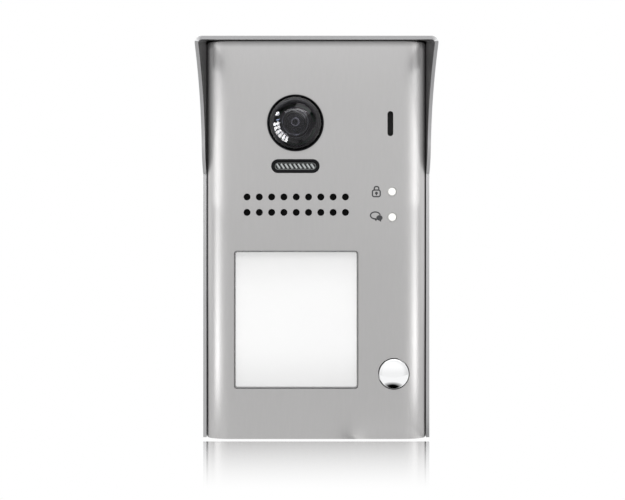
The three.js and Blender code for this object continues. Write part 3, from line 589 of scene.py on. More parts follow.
def fadeOutwards(tree, inner, outer, middleLevel, rimLevel):
    # full inside the inner share of the marked spread, fallen off at the outer one
    spread = tree.nodes.new("ShaderNodeAttribute")
    spread.attribute_name = "fromCentre"
    return rangeNode(tree, spread.outputs["Fac"], inner, outer, middleLevel, rimLevel,
                     "SMOOTHSTEP")


def glowMaterial(name, inner, outer, strength):
    # a small lamp seen through its lens: bright in the middle, soft at the rim
    material = finishMaterial(name, (0.38, 0.38, 0.37), 0.3, grain=(400, (1, 1, 1), 0.000005),
                              tone=0.02, handling=0.04)
    tree = material.node_tree
    shader = tree.nodes["Principled BSDF"]
    fall = fadeOutwards(tree, inner, outer, 1.0, 0.0)
    unevenness = placeGroup(tree, grainGroup, Scale=900.0, Contrast=0.15)
    glow = mathNode(tree, "MULTIPLY", fall,
                    mathNode(tree, "ADD", unevenness.outputs["Tone"], strength))
    shader.inputs["Emission Color"].default_value = (1.0, 0.99, 0.95, 1)
    tree.links.new(glow, shader.inputs["Emission Strength"])
    return material


def cardMaterial():
    # backlit card: its glow is a little uneven and falls off towards the top and bottom
    colour = (0.50, 0.50, 0.50)
    material = finishMaterial("litNameCard", colour, 0.8, grain=(400, (1, 1, 1), 0.000005),
                              tone=0.02, handling=0.04)
    tree = material.node_tree
    shader = tree.nodes["Principled BSDF"]
    glow = placeGroup(tree, grainGroup, Scale=60.0, Contrast=0.06)
    uneven = mathNode(tree, "ADD", glow.outputs["Tone"], 1.0)
    tint = mixNode(tree, 1.0, (*colour, 1), uneven, "MULTIPLY")
    tree.links.new(tint, shader.inputs["Emission Color"])
    fall = fadeOutwards(tree, 0.45, 1.1, 0.78, 0.50)
    tree.links.new(fall, shader.inputs["Emission Strength"])
    return material


finishes["white_light"] = glowMaterial("litLens", 0.35, 1.15, 1.1)
finishes["card_paper"] = cardMaterial()
finishes["clear_plastic"] = clearMaterial("clearCover", (0.92, 0.92, 0.92), 0.16)
finishes["dome_plastic"] = smokedMaterial()
finishes["lens_glass"] = finishMaterial(
    "coatedLensGlass", (0.02, 0.022, 0.03), roughness=0.03, grain=(200, (1, 1, 1), 0.0000005),
    tone=0.02, handling=0.01, wear=(0.0002, 0.05), Specular_IOR_Level=0.2)
finishes["ribbed_plastic"] = finishMaterial(
    "ribbedClearPlastic", (0.60, 0.63, 0.63), roughness=0.12, grain=(500, (1, 1, 1), 0.000002),
    tone=0.05, handling=0.05, Coat_Weight=1.0, Coat_Roughness=0.05)
finishes["lamp_rim"] = finishMaterial(
    "lampRimPlastic", (0.16, 0.165, 0.165), roughness=0.3, grain=(700, (1, 1, 1), 0.000004),
    tone=0.2, handling=0.05, wear=(0.0002, 0.1))
finishes["deep_lens"] = finishMaterial(
    "deepLensBed", (0.010, 0.012, 0.012), roughness=0.12, grain=(700, (1, 1, 1), 0.000004),
    tone=0.2, handling=0.05, wear=(0.0002, 0.1))
finishes["symbol_ink"] = finishMaterial(
    "printedInk", (0.035, 0.035, 0.038), roughness=0.6, grain=(2500, (1, 1, 1), 0.00001),
    tone=0.3, handling=0.1, wear=(0.0001, 0.1))
print("materials built:", len(finishes))

slotOfNode = {s["node"]: s["material_slot"] for s in frame["record"]["subparts"]}
bodyOfNode = {n: b for b, ns in frame["record"]["behaviour"]["bodies"].items() for n in ns}


def paint(piece, finish):
    piece.data.materials.clear()
    piece.data.materials.append(finishes[finish])


def deliver(piece, nodes, finish=None):
    # the piece stands for its CAD nodes, moves with their body and takes their slot
    slot = slotOfNode[nodes[0]]
    paint(piece, finish or slot)
    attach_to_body(piece, bodyOfNode[nodes[0]])
    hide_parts(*nodes)
    return piece


def attach(piece, body, slot, finish=None):
    paint(piece, finish or slot)
    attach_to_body(piece, body)
    return piece


# front panel

panelLow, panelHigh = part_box("front_panel")
faceY = panelLow.y

panel = {
    "flankWidth": 10.8 * mm,
    "flankDepth": 5.0 * mm,
    "flankSteps": 28,
    "sheet": 2.0 * mm,
    "cornerRadius": 1.7 * mm,
    "edgeRound": 0.22 * mm,
    "domeHole": 11.9 * mm,
    "lightHole": 2.0 * mm,
    "buttonHole": 6.8 * mm,
    "speakerHole": 1.5 * mm,
    "speakerPitch": 5.3 * mm,
    "speakerRows": 6.65 * mm,
    "speakerCount": 9,
    "slotRim": 1.8 * mm,
    "nameCorner": 1.35 * mm,
    "gap": 0.15 * mm,
    "cutFront": faceY - 2 * mm,
    "cutBack": faceY + 4 * mm,
}

places = {name: middle(node) for name, node in {
    "dome": "dome_bezel", "led": "led_window_bezel", "slot": "microphone_membrane",
    "unlock": "unlock_light", "talk": "talk_light", "button": "call_button",
    "speaker": "speaker_mesh", "name": "name_window"}.items()}


def panelCutters():
    front, back = panel["cutFront"], panel["cutBack"]
    cutters = []
    for key, radius in (("dome", "domeHole"), ("unlock", "lightHole"), ("talk", "lightHole"),
                        ("button", "buttonHole")):
        at = places[key]
        cutters.append(addDisc("cut", at.x, at.z, panel[radius], front, back, sides=96))
    for row in (-0.5, 0.5):
        for i in range(panel["speakerCount"]):
            x = places["speaker"].x + (i - (panel["speakerCount"] - 1) / 2) * panel["speakerPitch"]
            z = places["speaker"].z + row * panel["speakerRows"]
            cutters.append(addDisc("cut", x, z, panel["speakerHole"], front, back, sides=40))
    gap, rim = panel["gap"], panel["slotRim"]
    led, slot = sizeOf("led_window_bezel"), sizeOf("microphone_membrane")
    at = places["led"]
    cutters.append(fullRound("cut", at.x, at.z, led.x + 2 * gap, led.z + 2 * gap, front, back,
                             segments=20))
    at = places["slot"]
    cutters.append(fullRound("cut", at.x, at.z, slot.x - 2 * rim, slot.z - 2 * rim, front, back,
                             segments=16))
    name, at = sizeOf("name_window"), places["name"]
    cutters.append(roundedPlate("cut", at.x, at.z, name.x + 2 * gap, name.z + 2 * gap,
                                panel["nameCorner"], front, back))
    return cutters


def makeFrontPanel():
    low, high = panelLow, panelHigh
    # the flanks are rounded on a deeper box, which is then squeezed to the true depth
    stretch = panel["flankWidth"] / panel["flankDepth"]
    deep = Vector((high.x, low.y + (high.y - low.y) * stretch, high.z))
    piece = addBox("station_front", low, deep)
    roundCorners(piece, panel["flankWidth"], panel["flankSteps"],
                 lambda a, b: alongZ(a, b) and a.y < low.y + hair)
    openEdit(piece, "VERT")
    bpy.ops.mesh.select_all(action="SELECT")
    bpy.ops.transform.resize(value=(1, 1 / stretch, 1), center_override=(0, low.y, 0))
    closeEdit()
    # a bent section open at the back and at both ends
    openEdit(piece, "FACE")
    pickFaces(piece, lambda c, n: n.y > 0.9 or abs(n.z) > 0.9)
    bpy.ops.mesh.delete(type="FACE")
    closeEdit()
    modify(piece, "SOLIDIFY", thickness=panel["sheet"], offset=-1, use_even_offset=True)
    outline = roundedPlate("outline", 0, (low.z + high.z) / 2, high.x - low.x + clear,
                           high.z - low.z, panel["cornerRadius"], low.y - clear, 0)
    combine(piece, [outline], "INTERSECT")
    combine(piece, panelCutters())
    tidyMesh(piece)
    softenEdges(piece, panel["edgeRound"], 2, 50)
    return smooth(piece)


frontPiece = deliver(makeFrontPanel(), ["front_panel"])
print("front panel made")


# rain hood

hoodLow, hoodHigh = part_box("rain_hood")

hood = {
    "sheet": 1.4 * mm,
    "bend": 3.0 * mm,
    "lipBottom": 81.3 * mm,
    "slope": 0.24,
    "edgeRound": 0.6 * mm,
    # the fins' front edge in y and z: a long sweep from the lip, then a knee
    "sweepTop": 80.7 * mm,
    "sweepBend": (-33.5 * mm, 64 * mm),
    "sweepEnd": (-30.5 * mm, 43 * mm),
    "kneeBend": (-30 * mm, 35 * mm),
    "kneeEnd": (-25.5 * mm, 29.5 * mm),
    "cutAhead": 4 * mm,
    "cutBelow": 2 * mm,
    "cutHalf": 60 * mm,
    # holes in the back: wall slots, rivets and the way for the wires
    "slotWidth": 5 * mm,
    "slotHeight": 9 * mm,
    "slotX": 38 * mm,
    "slotZ": 60 * mm,
    "rivetX": 24 * mm,
    "rivetZ": 40 * mm,
    "rivetRadius": 2.1 * mm,
    "wireHole": 40 * mm,
    "wireHoleZ": -36 * mm,
    "wireHoleCorner": 3 * mm,
    "holeFront": -4 * mm,
    "holeBack": 2 * mm,
}


def quadratic(a, b, c, t):
    return [(1 - t) ** 2 * p + 2 * t * (1 - t) * q + t * t * r for p, q, r in zip(a, b, c)]


def finCutter():
    # a block ahead of the fins whose rear face is bent to their swept front edge
    ahead, below = hoodLow.y - hood["cutAhead"], hoodLow.z - hood["cutBelow"]
    lip = (hoodLow.y, hood["sweepTop"])
    sweep = [quadratic(lip, hood["sweepBend"], hood["sweepEnd"], i / 24) for i in range(25)]
    knee = [quadratic(hood["sweepEnd"], hood["kneeBend"], hood["kneeEnd"], i / 10)
            for i in range(1, 11)]
    edge = sweep + knee + [(hood["kneeEnd"][0], below), (ahead, below)]
    x = -hood["cutHalf"]
    piece = drawnLine("cut", (x, ahead, lip[1]), [(x, y, z) for y, z in edge])
    bpy.ops.mesh.edge_face_add()
    bpy.ops.mesh.extrude_region_move(TRANSFORM_OT_translate={"value": (-2 * x, 0, 0)})
    closeEdit()
    return tidyMesh(piece)


def makeRainHood():
    low, high = hoodLow, hoodHigh
    lipTop = hood["lipBottom"] + hood["sheet"]
    piece = addBox("rain_hood_sheet", low, Vector((high.x, 0, lipTop)))
    # the roof climbs to the wall
    openEdit(piece)
    pickEdges(piece, lambda a, b: min(a.z, b.z) > lipTop - hair and min(a.y, b.y) > -hair)
    bpy.ops.transform.translate(value=(0, 0, hood["slope"] * -low.y))
    bpy.ops.mesh.select_all(action="DESELECT")
    closeEdit()
    openEdit(piece, "FACE")
    pickFaces(piece, lambda c, n: n.y < -0.9 or n.z < -0.9)
    bpy.ops.mesh.delete(type="FACE")
    bpy.ops.mesh.select_mode(type="EDGE")
    # the two bends between roof and fins
    pickEdges(piece, lambda a, b: min(a.z, b.z) > lipTop - hair and abs(a.x - b.x) < hair)
    bpy.ops.mesh.bevel(offset=hood["bend"], segments=12, profile=0.5, affect="EDGES")
    closeEdit()
    modify(piece, "SOLIDIFY", thickness=hood["sheet"], offset=-1, use_even_offset=True)
    tidyMesh(piece)
    combine(piece, [finCutter()])
    front, back, side = hood["holeFront"], hood["holeBack"], hood["wireHole"]
    cutters = [roundedPlate("cut", 0, hood["wireHoleZ"], side, side, hood["wireHoleCorner"],
                            front, back)]
    for x in (-hood["slotX"], hood["slotX"]):
        for z in (-hood["slotZ"], hood["slotZ"]):
            cutters.append(fullRound("cut", x, z, hood["slotWidth"], hood["slotHeight"], front,
                                     back, segments=12))
    for x in (-hood["rivetX"], hood["rivetX"]):
        cutters.append(addDisc("cut", x, hood["rivetZ"], hood["rivetRadius"], front, back,
                               sides=40))
    combine(piece, cutters)
    tidyMesh(piece)
    softenEdges(piece, hood["edgeRound"], 4, 50)
    return smooth(piece)


hoodPiece = deliver(makeRainHood(), ["rain_hood"])
print("rain hood made")


# camera: ring, dome, lens

camera = {
    "centre": (places["dome"].x, places["dome"].z),
    "domeRadius": 11.55 * mm,
    "domeHeight": 8.5 * mm,
    "wall": 1.2 * mm,
    "flange": 13.8 * mm,
    "flangeFront": faceY + 2.5 * mm,
    "flangeBack": faceY + 3.5 * mm,
    "ringInner": 11.62 * mm,
    "ringNeck": 11.7 * mm,
    "ringOuter": 12.25 * mm,
    "ringRound": 0.28 * mm,
    "ringBack": faceY + 2.3 * mm,
    "barrelFront": -31.8 * mm,
    "barrelBack": -18.6 * mm,
    "barrelStep": -27 * mm,
    "barrelWide": 6.05 * mm,
    "nose": 5.4 * mm,
    "gripPitch": 0.9 * mm,
    "gripDepth": 0.15 * mm,
    "lensFront": -31.5 * mm,
    "lensBack": -29.5 * mm,
    "lensSphere": 9 * mm,
    "lensRadius": 4.25 * mm,
}


def makeDomeRing():
    inner, outer, neck = camera["ringInner"], camera["ringOuter"], camera["ringNeck"]
    back, shelf = camera["ringBack"], faceY - 0.05 * mm
    rim = arcPoints((11.95 * mm, faceY - 0.12 * mm), camera["ringRound"], -80, 90, 12)
    profile = [(inner, back), (inner, faceY - 0.1 * mm)] + rim + [
        (outer, shelf), (neck, shelf), (neck, back), (inner, back)]
    return smooth(spunPiece("dome_ring", camera["centre"], profile, 128), 40)


def makeDome():
    rim, height, wall = camera["domeRadius"], camera["domeHeight"], camera["wall"]
    front, back = camera["flangeFront"], camera["flangeBack"]
    sphere = (rim ** 2 + height ** 2) / (2 * height)
    centre = (0, faceY - height + sphere)
    outside = arcPoints(centre, sphere, 0, capAngle(rim, sphere), 28)
    inside = arcPoints(centre, sphere - wall, capAngle(rim - wall, sphere - wall), 0, 28)
    profile = outside + [(rim, front), (camera["flange"], front), (camera["flange"], back),
                         (rim - wall, back)] + inside
    return smooth(spunPiece("smoked_dome", camera["centre"], profile, 128), 40)


def makeBarrel():
    # stepped baffles run in from the front rim to the lens seat
    front, back = camera["barrelFront"], camera["barrelBack"]
    nose, step, deep = camera["nose"], camera["barrelStep"], camera["gripDepth"]
    profile = [(0, front + 2.4 * mm), (4.5 * mm, front + 2.4 * mm), (4.5 * mm, front + 0.5 * mm),
               (4.75 * mm, front + 0.5 * mm), (4.75 * mm, front + 0.15 * mm),
               (4.95 * mm, front), (5.2 * mm, front), (nose, front + 0.2 * mm)]
    y = front + 0.8 * mm
    while y < step - 0.2 * mm:  # focusing grip: fine rings round the nose
        profile += [(nose, y), (nose - deep, y + 0.15 * mm), (nose - deep, y + 0.4 * mm),
                    (nose, y + 0.55 * mm)]
        y += camera["gripPitch"]
    wide = camera["barrelWide"]
    profile += [(nose, step), (wide, step), (wide, back), (0, back)]
    return smooth(spunPiece("lens_tube", camera["centre"], profile, 96), 30)


def makeLens():
    front, back, sphere = camera["lensFront"], camera["lensBack"], camera["lensSphere"]
    edge = camera["lensRadius"] + 0.05 * mm
    profile = arcPoints((0, front + sphere), sphere, 0, capAngle(camera["lensRadius"], sphere),
                        16)
    profile += [(edge, front + 1.1 * mm), (edge, back), (0, back)]
    return smooth(spunPiece("lens_element", camera["centre"], profile, 96), 30)


def makeInnerIris():
    # the small bright ring round the aperture, seen through the front element
    front = camera["lensFront"] - 0.12 * mm
    inner, outer, back = 1.25 * mm, 1.85 * mm, front + 0.5 * mm
    profile = [(inner, front), (1.6 * mm, front - 0.05 * mm), (outer, front + 0.05 * mm),
               (outer, back), (inner, back), (inner, front)]
    return smooth(spunPiece("lens_iris_ring", camera["centre"], profile, 64), 30)


def makeRimRing():
    # a fine raised line on the nose of the lens tube
    front = camera["barrelFront"] + 0.05 * mm
    inner, outer, back = 5.05 * mm, 5.55 * mm, front + 0.35 * mm
    crown = front - 0.13 * mm
    profile = [(inner, front), (5.2 * mm, crown), (camera["nose"], crown), (outer, front),
               (outer, back), (inner, back), (inner, front)]
    return smooth(spunPiece("lens_rim_line", camera["centre"], profile, 96), 30)


deliver(makeBarrel(), ["lens_barrel"])
deliver(makeLens(), ["front_lens"])
domePieces = [
    deliver(makeDome(), ["camera_dome"]),
    deliver(makeDomeRing(), ["dome_bezel"]),
    attach(makeInnerIris(), "camera", "lens_metal", "fixing_steel"),
    attach(makeRimRing(), "camera", "lens_metal", "lamp_rim"),
]
print("camera made")


# lights under the camera

lamp = {
    "frameWall": 1.05 * mm,
    "frameRound": 0.25 * mm,
    "lensSunk": 0.9 * mm,
    "lensRound": 0.15 * mm,
    "outlineInset": (0.25 * mm, 0.15 * mm),
    "outlineWidth": 0.28 * mm,
    "outlineFront": 0.45 * mm,
    "ribs": 9,
    "ribPitch": 1.86 * mm,
    "ribWidth": 0.95 * mm,
    "ribLength": 2.7 * mm,
    "ribTilt": 33,
    "ribFront": 0.05 * mm,
    "reliefBack": 1.0 * mm,  # how deep the ribs and the outline are sunk
}


def lampHoop(name, width, height, wall, front, back, segments, edge, edgeSteps):
    # a flat band with round ends, open in the middle
    at = places["led"]
    piece = fullRound(name, at.x, at.z, width, height, front, back, segments)
    hole = fullRound("cut", at.x, at.z, width - 2 * wall, height - 2 * wall, front - clear,
                     back + clear, 16)
    combine(piece, [hole])
    tidyMesh(piece)
    softenEdges(piece, edge, edgeSteps, 50)
    return smooth(piece)


def makeLampFrame():
    low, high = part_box("led_window_bezel")
    return lampHoop("lamp_frame", high.x - low.x, high.z - low.z, lamp["frameWall"], low.y,
                    high.y, 20, lamp["frameRound"], 3)


def makeRibbedLens():
    at = places["led"]
    low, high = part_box("led_window")
    piece = fullRound("lamp_lens", at.x, at.z, high.x - low.x, high.z - low.z,
                      low.y + lamp["lensSunk"], high.y, 16)
    softenEdges(piece, lamp["lensRound"], 2, 50)
    return smooth(piece)


def makeLampOutline():
    # the thin moulded rim that stands round the ribbed area
    low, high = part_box("led_window")
    aside, above = lamp["outlineInset"]
    return lampHoop("lamp_outline", high.x - low.x - 2 * aside, high.z - low.z - 2 * above,
                    lamp["outlineWidth"], low.y + lamp["outlineFront"], low.y + lamp["reliefBack"],
                    16, 0.08 * mm, 2)


def makeRibs():
    at = places["led"]
    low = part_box("led_window")[0]
    half, length = lamp["ribWidth"] / 2, lamp["ribLength"] / 2
    ribs = []
    for i in range(lamp["ribs"]):
        x = at.x + (i - (lamp["ribs"] - 1) / 2) * lamp["ribPitch"]
        rib = addBox("rib", (x - half, low.y + lamp["ribFront"], at.z - length),
                     (x + half, low.y + lamp["reliefBack"], at.z + length))
        openEdit(rib, "FACE")
        pickFaces(rib, lambda c, n: n.y < -0.9)  # the front of each rib is a ridge
        bpy.ops.transform.resize(value=(0.25, 1, 0.85))
        bpy.ops.mesh.select_all(action="SELECT")
        bpy.ops.transform.rotate(value=math.radians(lamp["ribTilt"]), orient_axis="Y",
                                 center_override=(x, low.y, at.z))
        closeEdit()
        ribs.append(rib)
    piece = joinAll(ribs, "lamp_ribs")
    softenEdges(piece, 0.06 * mm, 2, 20)
    return smooth(piece)


deliver(makeLampFrame(), ["led_window_bezel"])
deliver(makeRibbedLens(), ["led_window"], "deep_lens")
attach(makeLampOutline(), "station", "clear_plastic", "lamp_rim")
attach(makeRibs(), "station", "clear_plastic", "ribbed_plastic")
print("lamp made")


# call button

button = {
    "centre": (places["button"].x, places["button"].z),
    "radius": 6.4 * mm,
    "crownSphere": 12.3 * mm,
    "shoulder": 0.45 * mm,
    "skirtRadius": 7.1 * mm,
    "skirtFront": -25 * mm,
    "skirtBack": -24 * mm,
    "stem": 1.6 * mm,
    "travel": 1.5 * mm,
}


def makeCallButton():
    low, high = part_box("call_button")
    radius, sphere, shoulder = button["radius"], button["crownSphere"], button["shoulder"]
    front, back, skirt = button["skirtFront"], button["skirtBack"], button["skirtRadius"]
    crown = arcPoints((0, low.y + sphere), sphere, 0, capAngle(radius - 0.35 * mm, sphere), 24)
    turn = arcPoints((radius - shoulder, crown[-1][1] + 0.40 * mm), shoulder, 35, 90, 8)
    profile = crown + turn + [(radius, front), (skirt, front), (skirt, back),
                              (button["stem"], back), (button["stem"], high.y), (0, high.y)]
    return smooth(spunPiece("chrome_button", button["centre"], profile, 128), 30)


deliver(makeCallButton(), ["call_button"])
print("button made")


# status lights

statusLight = {
    "radius": 1.85 * mm,
    "lensSphere": 6 * mm,
    "lensRadius": 1.6 * mm,
    "collar": 2.85 * mm,
    "collarFront": faceY + 2.1 * mm,
    "collarBack": faceY + 3 * mm,
    "tail": 1.55 * mm,
}


def makeStatusLight(name, at, node):
    low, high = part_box(node)
    radius, sphere, collar = statusLight["radius"], statusLight["lensSphere"], statusLight["collar"]
    front, back, tail = statusLight["collarFront"], statusLight["collarBack"], statusLight["tail"]
    lens = arcPoints((0, low.y + sphere), sphere, 0, capAngle(statusLight["lensRadius"], sphere), 8)
    profile = lens + [(radius, faceY), (radius, front), (collar, front), (collar, back),
                      (tail, back), (tail, high.y), (0, high.y)]
    piece = smooth(spunPiece(name, (at.x, at.z), profile, 64), 30)
    return markSpread(piece, (at.x, at.z), (radius, radius))


deliver(makeStatusLight("unlock_lens", places["unlock"], "unlock_light"), ["unlock_light"])
deliver(makeStatusLight("talk_lens", places["talk"], "talk_light"), ["talk_light"])


# name window

def nodePlate(name, node, corner, segments, edge, edgeSteps):
    # a rounded plate that fills its node's box
    low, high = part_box(node)
    at = (low + high) / 2
    piece = roundedPlate(name, at.x, at.z, high.x - low.x, high.z - low.z, corner, low.y, high.y,
                         segments)
    return softenEdges(piece, edge, edgeSteps, 50)


def makeNameWindow():
    return smooth(nodePlate("name_cover", "name_window", 1.2 * mm, 8, 0.3 * mm, 3))


def makeNameCard():
    piece = nodePlate("blank_card", "name_card", 0.8 * mm, 6, 0.05 * mm, 2)
    low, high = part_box("name_card")
    # rows of points carry the fall-off of the light
    rows = 24
    openEdit(piece, "FACE")
    for i in range(1, rows):
        bpy.ops.mesh.select_all(action="SELECT")
        bpy.ops.mesh.bisect(plane_co=(0, 0, low.z + (high.z - low.z) * i / rows),
                            plane_no=(0, 0, 1))
    closeEdit()
    smooth(piece)
    at = places["name"]
    return markSpread(piece, (at.x, at.z), ((high.x - low.x) * 1.4, (high.z - low.z) / 2))


deliver(makeNameWindow(), ["name_window"])
deliver(makeNameCard(), ["name_card"])
print("name window made")


# printed symbols

ink = {
    "front": faceY - 0.03 * mm,
    "back": faceY + 0.02 * mm,
    "line": 0.55 * mm,
    "weld": 0.0001 * mm,
    # padlock: its middle, then width, height and corner of case and shackle
    "lock": (25.85 * mm, 20.85 * mm),
    "case": (3.9 * mm, 3.4 * mm, 1.05 * mm),
    "shackle": (2.5 * mm, 2.9 * mm, 1.1 * mm),
    "shackleUp": 1.75 * mm,
    "shackleFoot": 1.6 * mm,
    "eye": 0.62 * mm,
    # speech: its middle, then for each bubble its offset and half its width and height,
    # and for each tail its offset, width, drop and lean
    "talk": (25.9 * mm, 10.9 * mm),
    "openBubble": (-0.5 * mm, 0.45 * mm, 2.35 * mm, 1.75 * mm),
    "openTail": (-0.35 * mm, -1.0 * mm, 1.3 * mm, 1.0 * mm, 0.1 * mm),
    "fullBubble": (1.3 * mm, -0.6 * mm, 1.35 * mm, 1.15 * mm),
    "fullTail": (1.45 * mm, -1.5 * mm, 1.1 * mm, 0.75 * mm, 0.25 * mm),
    "bubbleGap": 0.12 * mm,
}


def inkRing(name, x, z, width, height, radius):
    line = ink["line"]
    piece = roundedPlate(name, x, z, width, height, radius, ink["front"], ink["back"], 10)
    inner = roundedPlate("cut", x, z, width - 2 * line, height - 2 * line, radius - line,
                         ink["front"] - clear, ink["back"] + clear, 10)
    return combine(piece, [inner])


def makeLockSymbol():
    x, z = ink["lock"]
    case = inkRing("lock_symbol", x, z, *ink["case"])
    shackle = inkRing("shackle", x + 0.1 * mm, z + ink["shackleUp"], *ink["shackle"])
    # only the arch above the case is kept
    openEdit(shackle, "FACE")
    bpy.ops.mesh.select_all(action="SELECT")
    bpy.ops.mesh.bisect(plane_co=(x, 0, z + ink["shackleFoot"]), plane_no=(0, 0, 1),
                        clear_inner=True, use_fill=True)
    closeEdit()
    eye = addDisc("eye", x + 0.05 * mm, z + 0.1 * mm, ink["eye"], ink["front"], ink["back"], 32)
    foot = addBox("foot", (x - 0.2 * mm, ink["front"], z - 0.9 * mm),
                  (x + 0.2 * mm, ink["back"], z - 0.2 * mm))
    piece = joinAll([case, shackle, eye, foot], "lock_symbol")
    return tidyMesh(piece, ink["weld"])


def inkTail(aside, above, width, drop, lean):
    # a wedge below a bubble: a small plate whose lower edge is drawn to a point
    x, z = ink["talk"][0] + aside, ink["talk"][1] + above
    tail = addBox("tail", (x - width / 2, ink["front"], z - drop), (x + width / 2, ink["back"], z))
    openEdit(tail, "FACE")
    pickFaces(tail, lambda c, n: n.z < -0.9)
    bpy.ops.transform.resize(value=(0.15, 1, 1), center_override=(x + lean, 0, z - drop))
    bpy.ops.transform.translate(value=(lean, 0, 0))
    closeEdit()
    return tail


def inkBubble(name, aside, above, halfWidth, halfHeight, grow=0.0, beyond=0.0):
    # grow widens the oval, beyond draws it out in front and behind as a cutting piece
    halfWidth, halfHeight = halfWidth + grow, halfHeight + grow
    oval = addDisc(name, 0, 0, halfWidth, ink["front"] - beyond, ink["back"] + beyond, 64)
    oval.scale = (1, 1, halfHeight / halfWidth)
    oval.location = (ink["talk"][0] + aside, 0, ink["talk"][1] + above)
    return settle(oval)


def makeTalkSymbol():
    bubble = inkBubble("talk_symbol", *ink["openBubble"])
    combine(bubble, [inkBubble("cut", *ink["openBubble"], -ink["line"], clear)])
    # a gap is left round the small filled bubble that overlaps the open one
    combine(bubble, [inkBubble("cut", *ink["fullBubble"], ink["bubbleGap"], clear)])
    pieces = [bubble, inkTail(*ink["openTail"]), inkBubble("small", *ink["fullBubble"]),
              inkTail(*ink["fullTail"])]
    return tidyMesh(joinAll(pieces, "talk_symbol"), ink["weld"])


attach(makeLockSymbol(), "station", "bezel_plastic", "symbol_ink")
attach(makeTalkSymbol(), "station", "bezel_plastic", "symbol_ink")
print("symbols made")


# every other node: its own shape with rounded edges

def numbered(name, count):
    return [f"{name}_{i}" for i in range(1, count + 1)]


softNodes = {
    0.25 * mm: ["top_end_cap", "bottom_end_cap", "rear_cover", "name_holder", "button_guide",
                "camera_bracket", "camera_cradle", "speaker_frame", "terminal_block",
                "microphone_boot", "mounting_bracket"],
    0.15 * mm: ["main_board", "sensor_board", "led_board", "name_diffuser", "switch_body",
                "dip_switch", "volume_trimmer", "security_screw", "bracket_rivet_left",
                "bracket_rivet_right", "speaker_magnet", "speaker_cone", "microphone",
                "rear_gasket", "speaker_gasket", "volume_rotor", *numbered("dip_lever", 2),
                "switch_plunger"],
    0.08 * mm: [*numbered("cover_screw", 4), "dome_seal", "stem_seal", "speaker_mesh",
                "microphone_membrane", *numbered("terminal_screw", 4),
                *numbered("light_emitter", 4)],
}


def plainCopy(node):
    activate(frame["nodes"][node])
    bpy.ops.object.duplicate()
    piece = bpy.context.active_object
    piece.name = node + "_finished"
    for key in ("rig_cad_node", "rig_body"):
        if key in piece:
            del piece[key]
    piece.parent = None
    return piece


def softenedCopy(node, width):
    piece = plainCopy(node)
    openEdit(piece, "VERT")
    bpy.ops.mesh.select_all(action="SELECT")
    bpy.ops.mesh.remove_doubles(threshold=weld)
    bpy.ops.mesh.dissolve_limited(angle_limit=math.radians(1.5))
    closeEdit()
    softenEdges(piece, width, 2, 40)
    return smooth(piece, 35)


for width, nodes in softNodes.items():
    for node in nodes:
        deliver(softenedCopy(node, width), [node])


def makeSpring():
    # the coil keeps its CAD shape and gets a mesh of its own
    piece = smooth(plainCopy("button_spring"), 60)
    deliver(piece, ["button_spring"])
    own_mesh(piece)


makeSpring()
print("other nodes finished")


# floor, light, camera

stage = {
    "floorZ": hoodLow.z - 0.5 * mm,
    "floorSize": 6.0,
    "floorFront": -0.105,
    # where the floor mirrors: from the part's foot forwards, and little wider than the part
    "contact": -31.2 * mm,
    "mirrorFar": -100 * mm,
    "mirrorMost": 0.9,
    "mirrorCurve": 1.3,
    "mirrorHalf": 62 * mm,
    "mirrorBlend": 15 * mm,
    "shadeY": -38 * mm,
    "shadeCore": 11 * mm,
    "shadeRim": 25 * mm,
    # brightness of the room in front, to the sides and behind
    "front": 0.98,
    "side": 0.55,
    "behind": 1.0,
    "lift": (0.97, 1.1),
    # where one brightness gives way to the next, in the direction's own units
    "aheadRange": (-0.75, -0.25),
    "behindRange": (0.0, 0.25),
    "liftRange": (-0.05, 0.35),
}


def floorMaterial():
    # pale gloss floor: it mirrors the object ahead of its foot and fades to white
    material = bpy.data.materials.new("paleFloor")
    material.use_nodes = True
    tree = material.node_tree
    tree.nodes.clear()
    place = objectPlace(tree)
    depth, contact = axisOf(tree, place, "Y"), stage["contact"]
    isCamera = tree.nodes.new("ShaderNodeLightPath").outputs["Is Camera Ray"]
    curve = mathNode(tree, "POWER", rangeNode(tree, depth, stage["mirrorFar"], contact),
                     stage["mirrorCurve"])
    ahead = mathNode(tree, "LESS_THAN", depth, contact)
    aside = mathNode(tree, "ABSOLUTE", axisOf(tree, place, "X"), 0.0)
    near = rangeNode(tree, aside, stage["mirrorHalf"] + stage["mirrorBlend"],
                     stage["mirrorHalf"])
    most = mathNode(tree, "MULTIPLY", isCamera, stage["mirrorMost"])
    share = mathNode(tree, "MULTIPLY", mathNode(tree, "MULTIPLY", curve, ahead),
                     mathNode(tree, "MULTIPLY", near, most))
    # a patch below the button is shaded for everything but the camera
    offset = vectorNode(tree, "DISTANCE", place,
                        (button["centre"][0], stage["shadeY"], stage["floorZ"]), "Value")
    shade = rangeNode(tree, offset, stage["shadeCore"], stage["shadeRim"])
    white = tree.nodes.new("ShaderNodeEmission")
    white.inputs["Color"].default_value = (1, 1, 1, 1)
    tree.links.new(mathNode(tree, "MAXIMUM", shade, isCamera), white.inputs["Strength"])
    mirror = tree.nodes.new("ShaderNodeBsdfGlossy")
    mirror.inputs["Color"].default_value = (1, 1, 1, 1)
    mirror.inputs["Roughness"].default_value = 0.0
    mix = tree.nodes.new("ShaderNodeMixShader")
    output = tree.nodes.new("ShaderNodeOutputMaterial")
    tree.links.new(share, mix.inputs[0])
    tree.links.new(white.outputs[0], mix.inputs[1])
    tree.links.new(mirror.outputs[0], mix.inputs[2])
    tree.links.new(mix.outputs[0], output.inputs["Surface"])
    return material


def makeFloor():
    middleY = 0.5 * stage["floorSize"] + stage["floorFront"]
    bpy.ops.mesh.primitive_plane_add(size=stage["floorSize"],
                                     location=(0, middleY, stage["floorZ"]))
    floor = settle(bpy.context.active_object)
    floor.name = "studio_floor"
    floor.data.materials.append(floorMaterial())


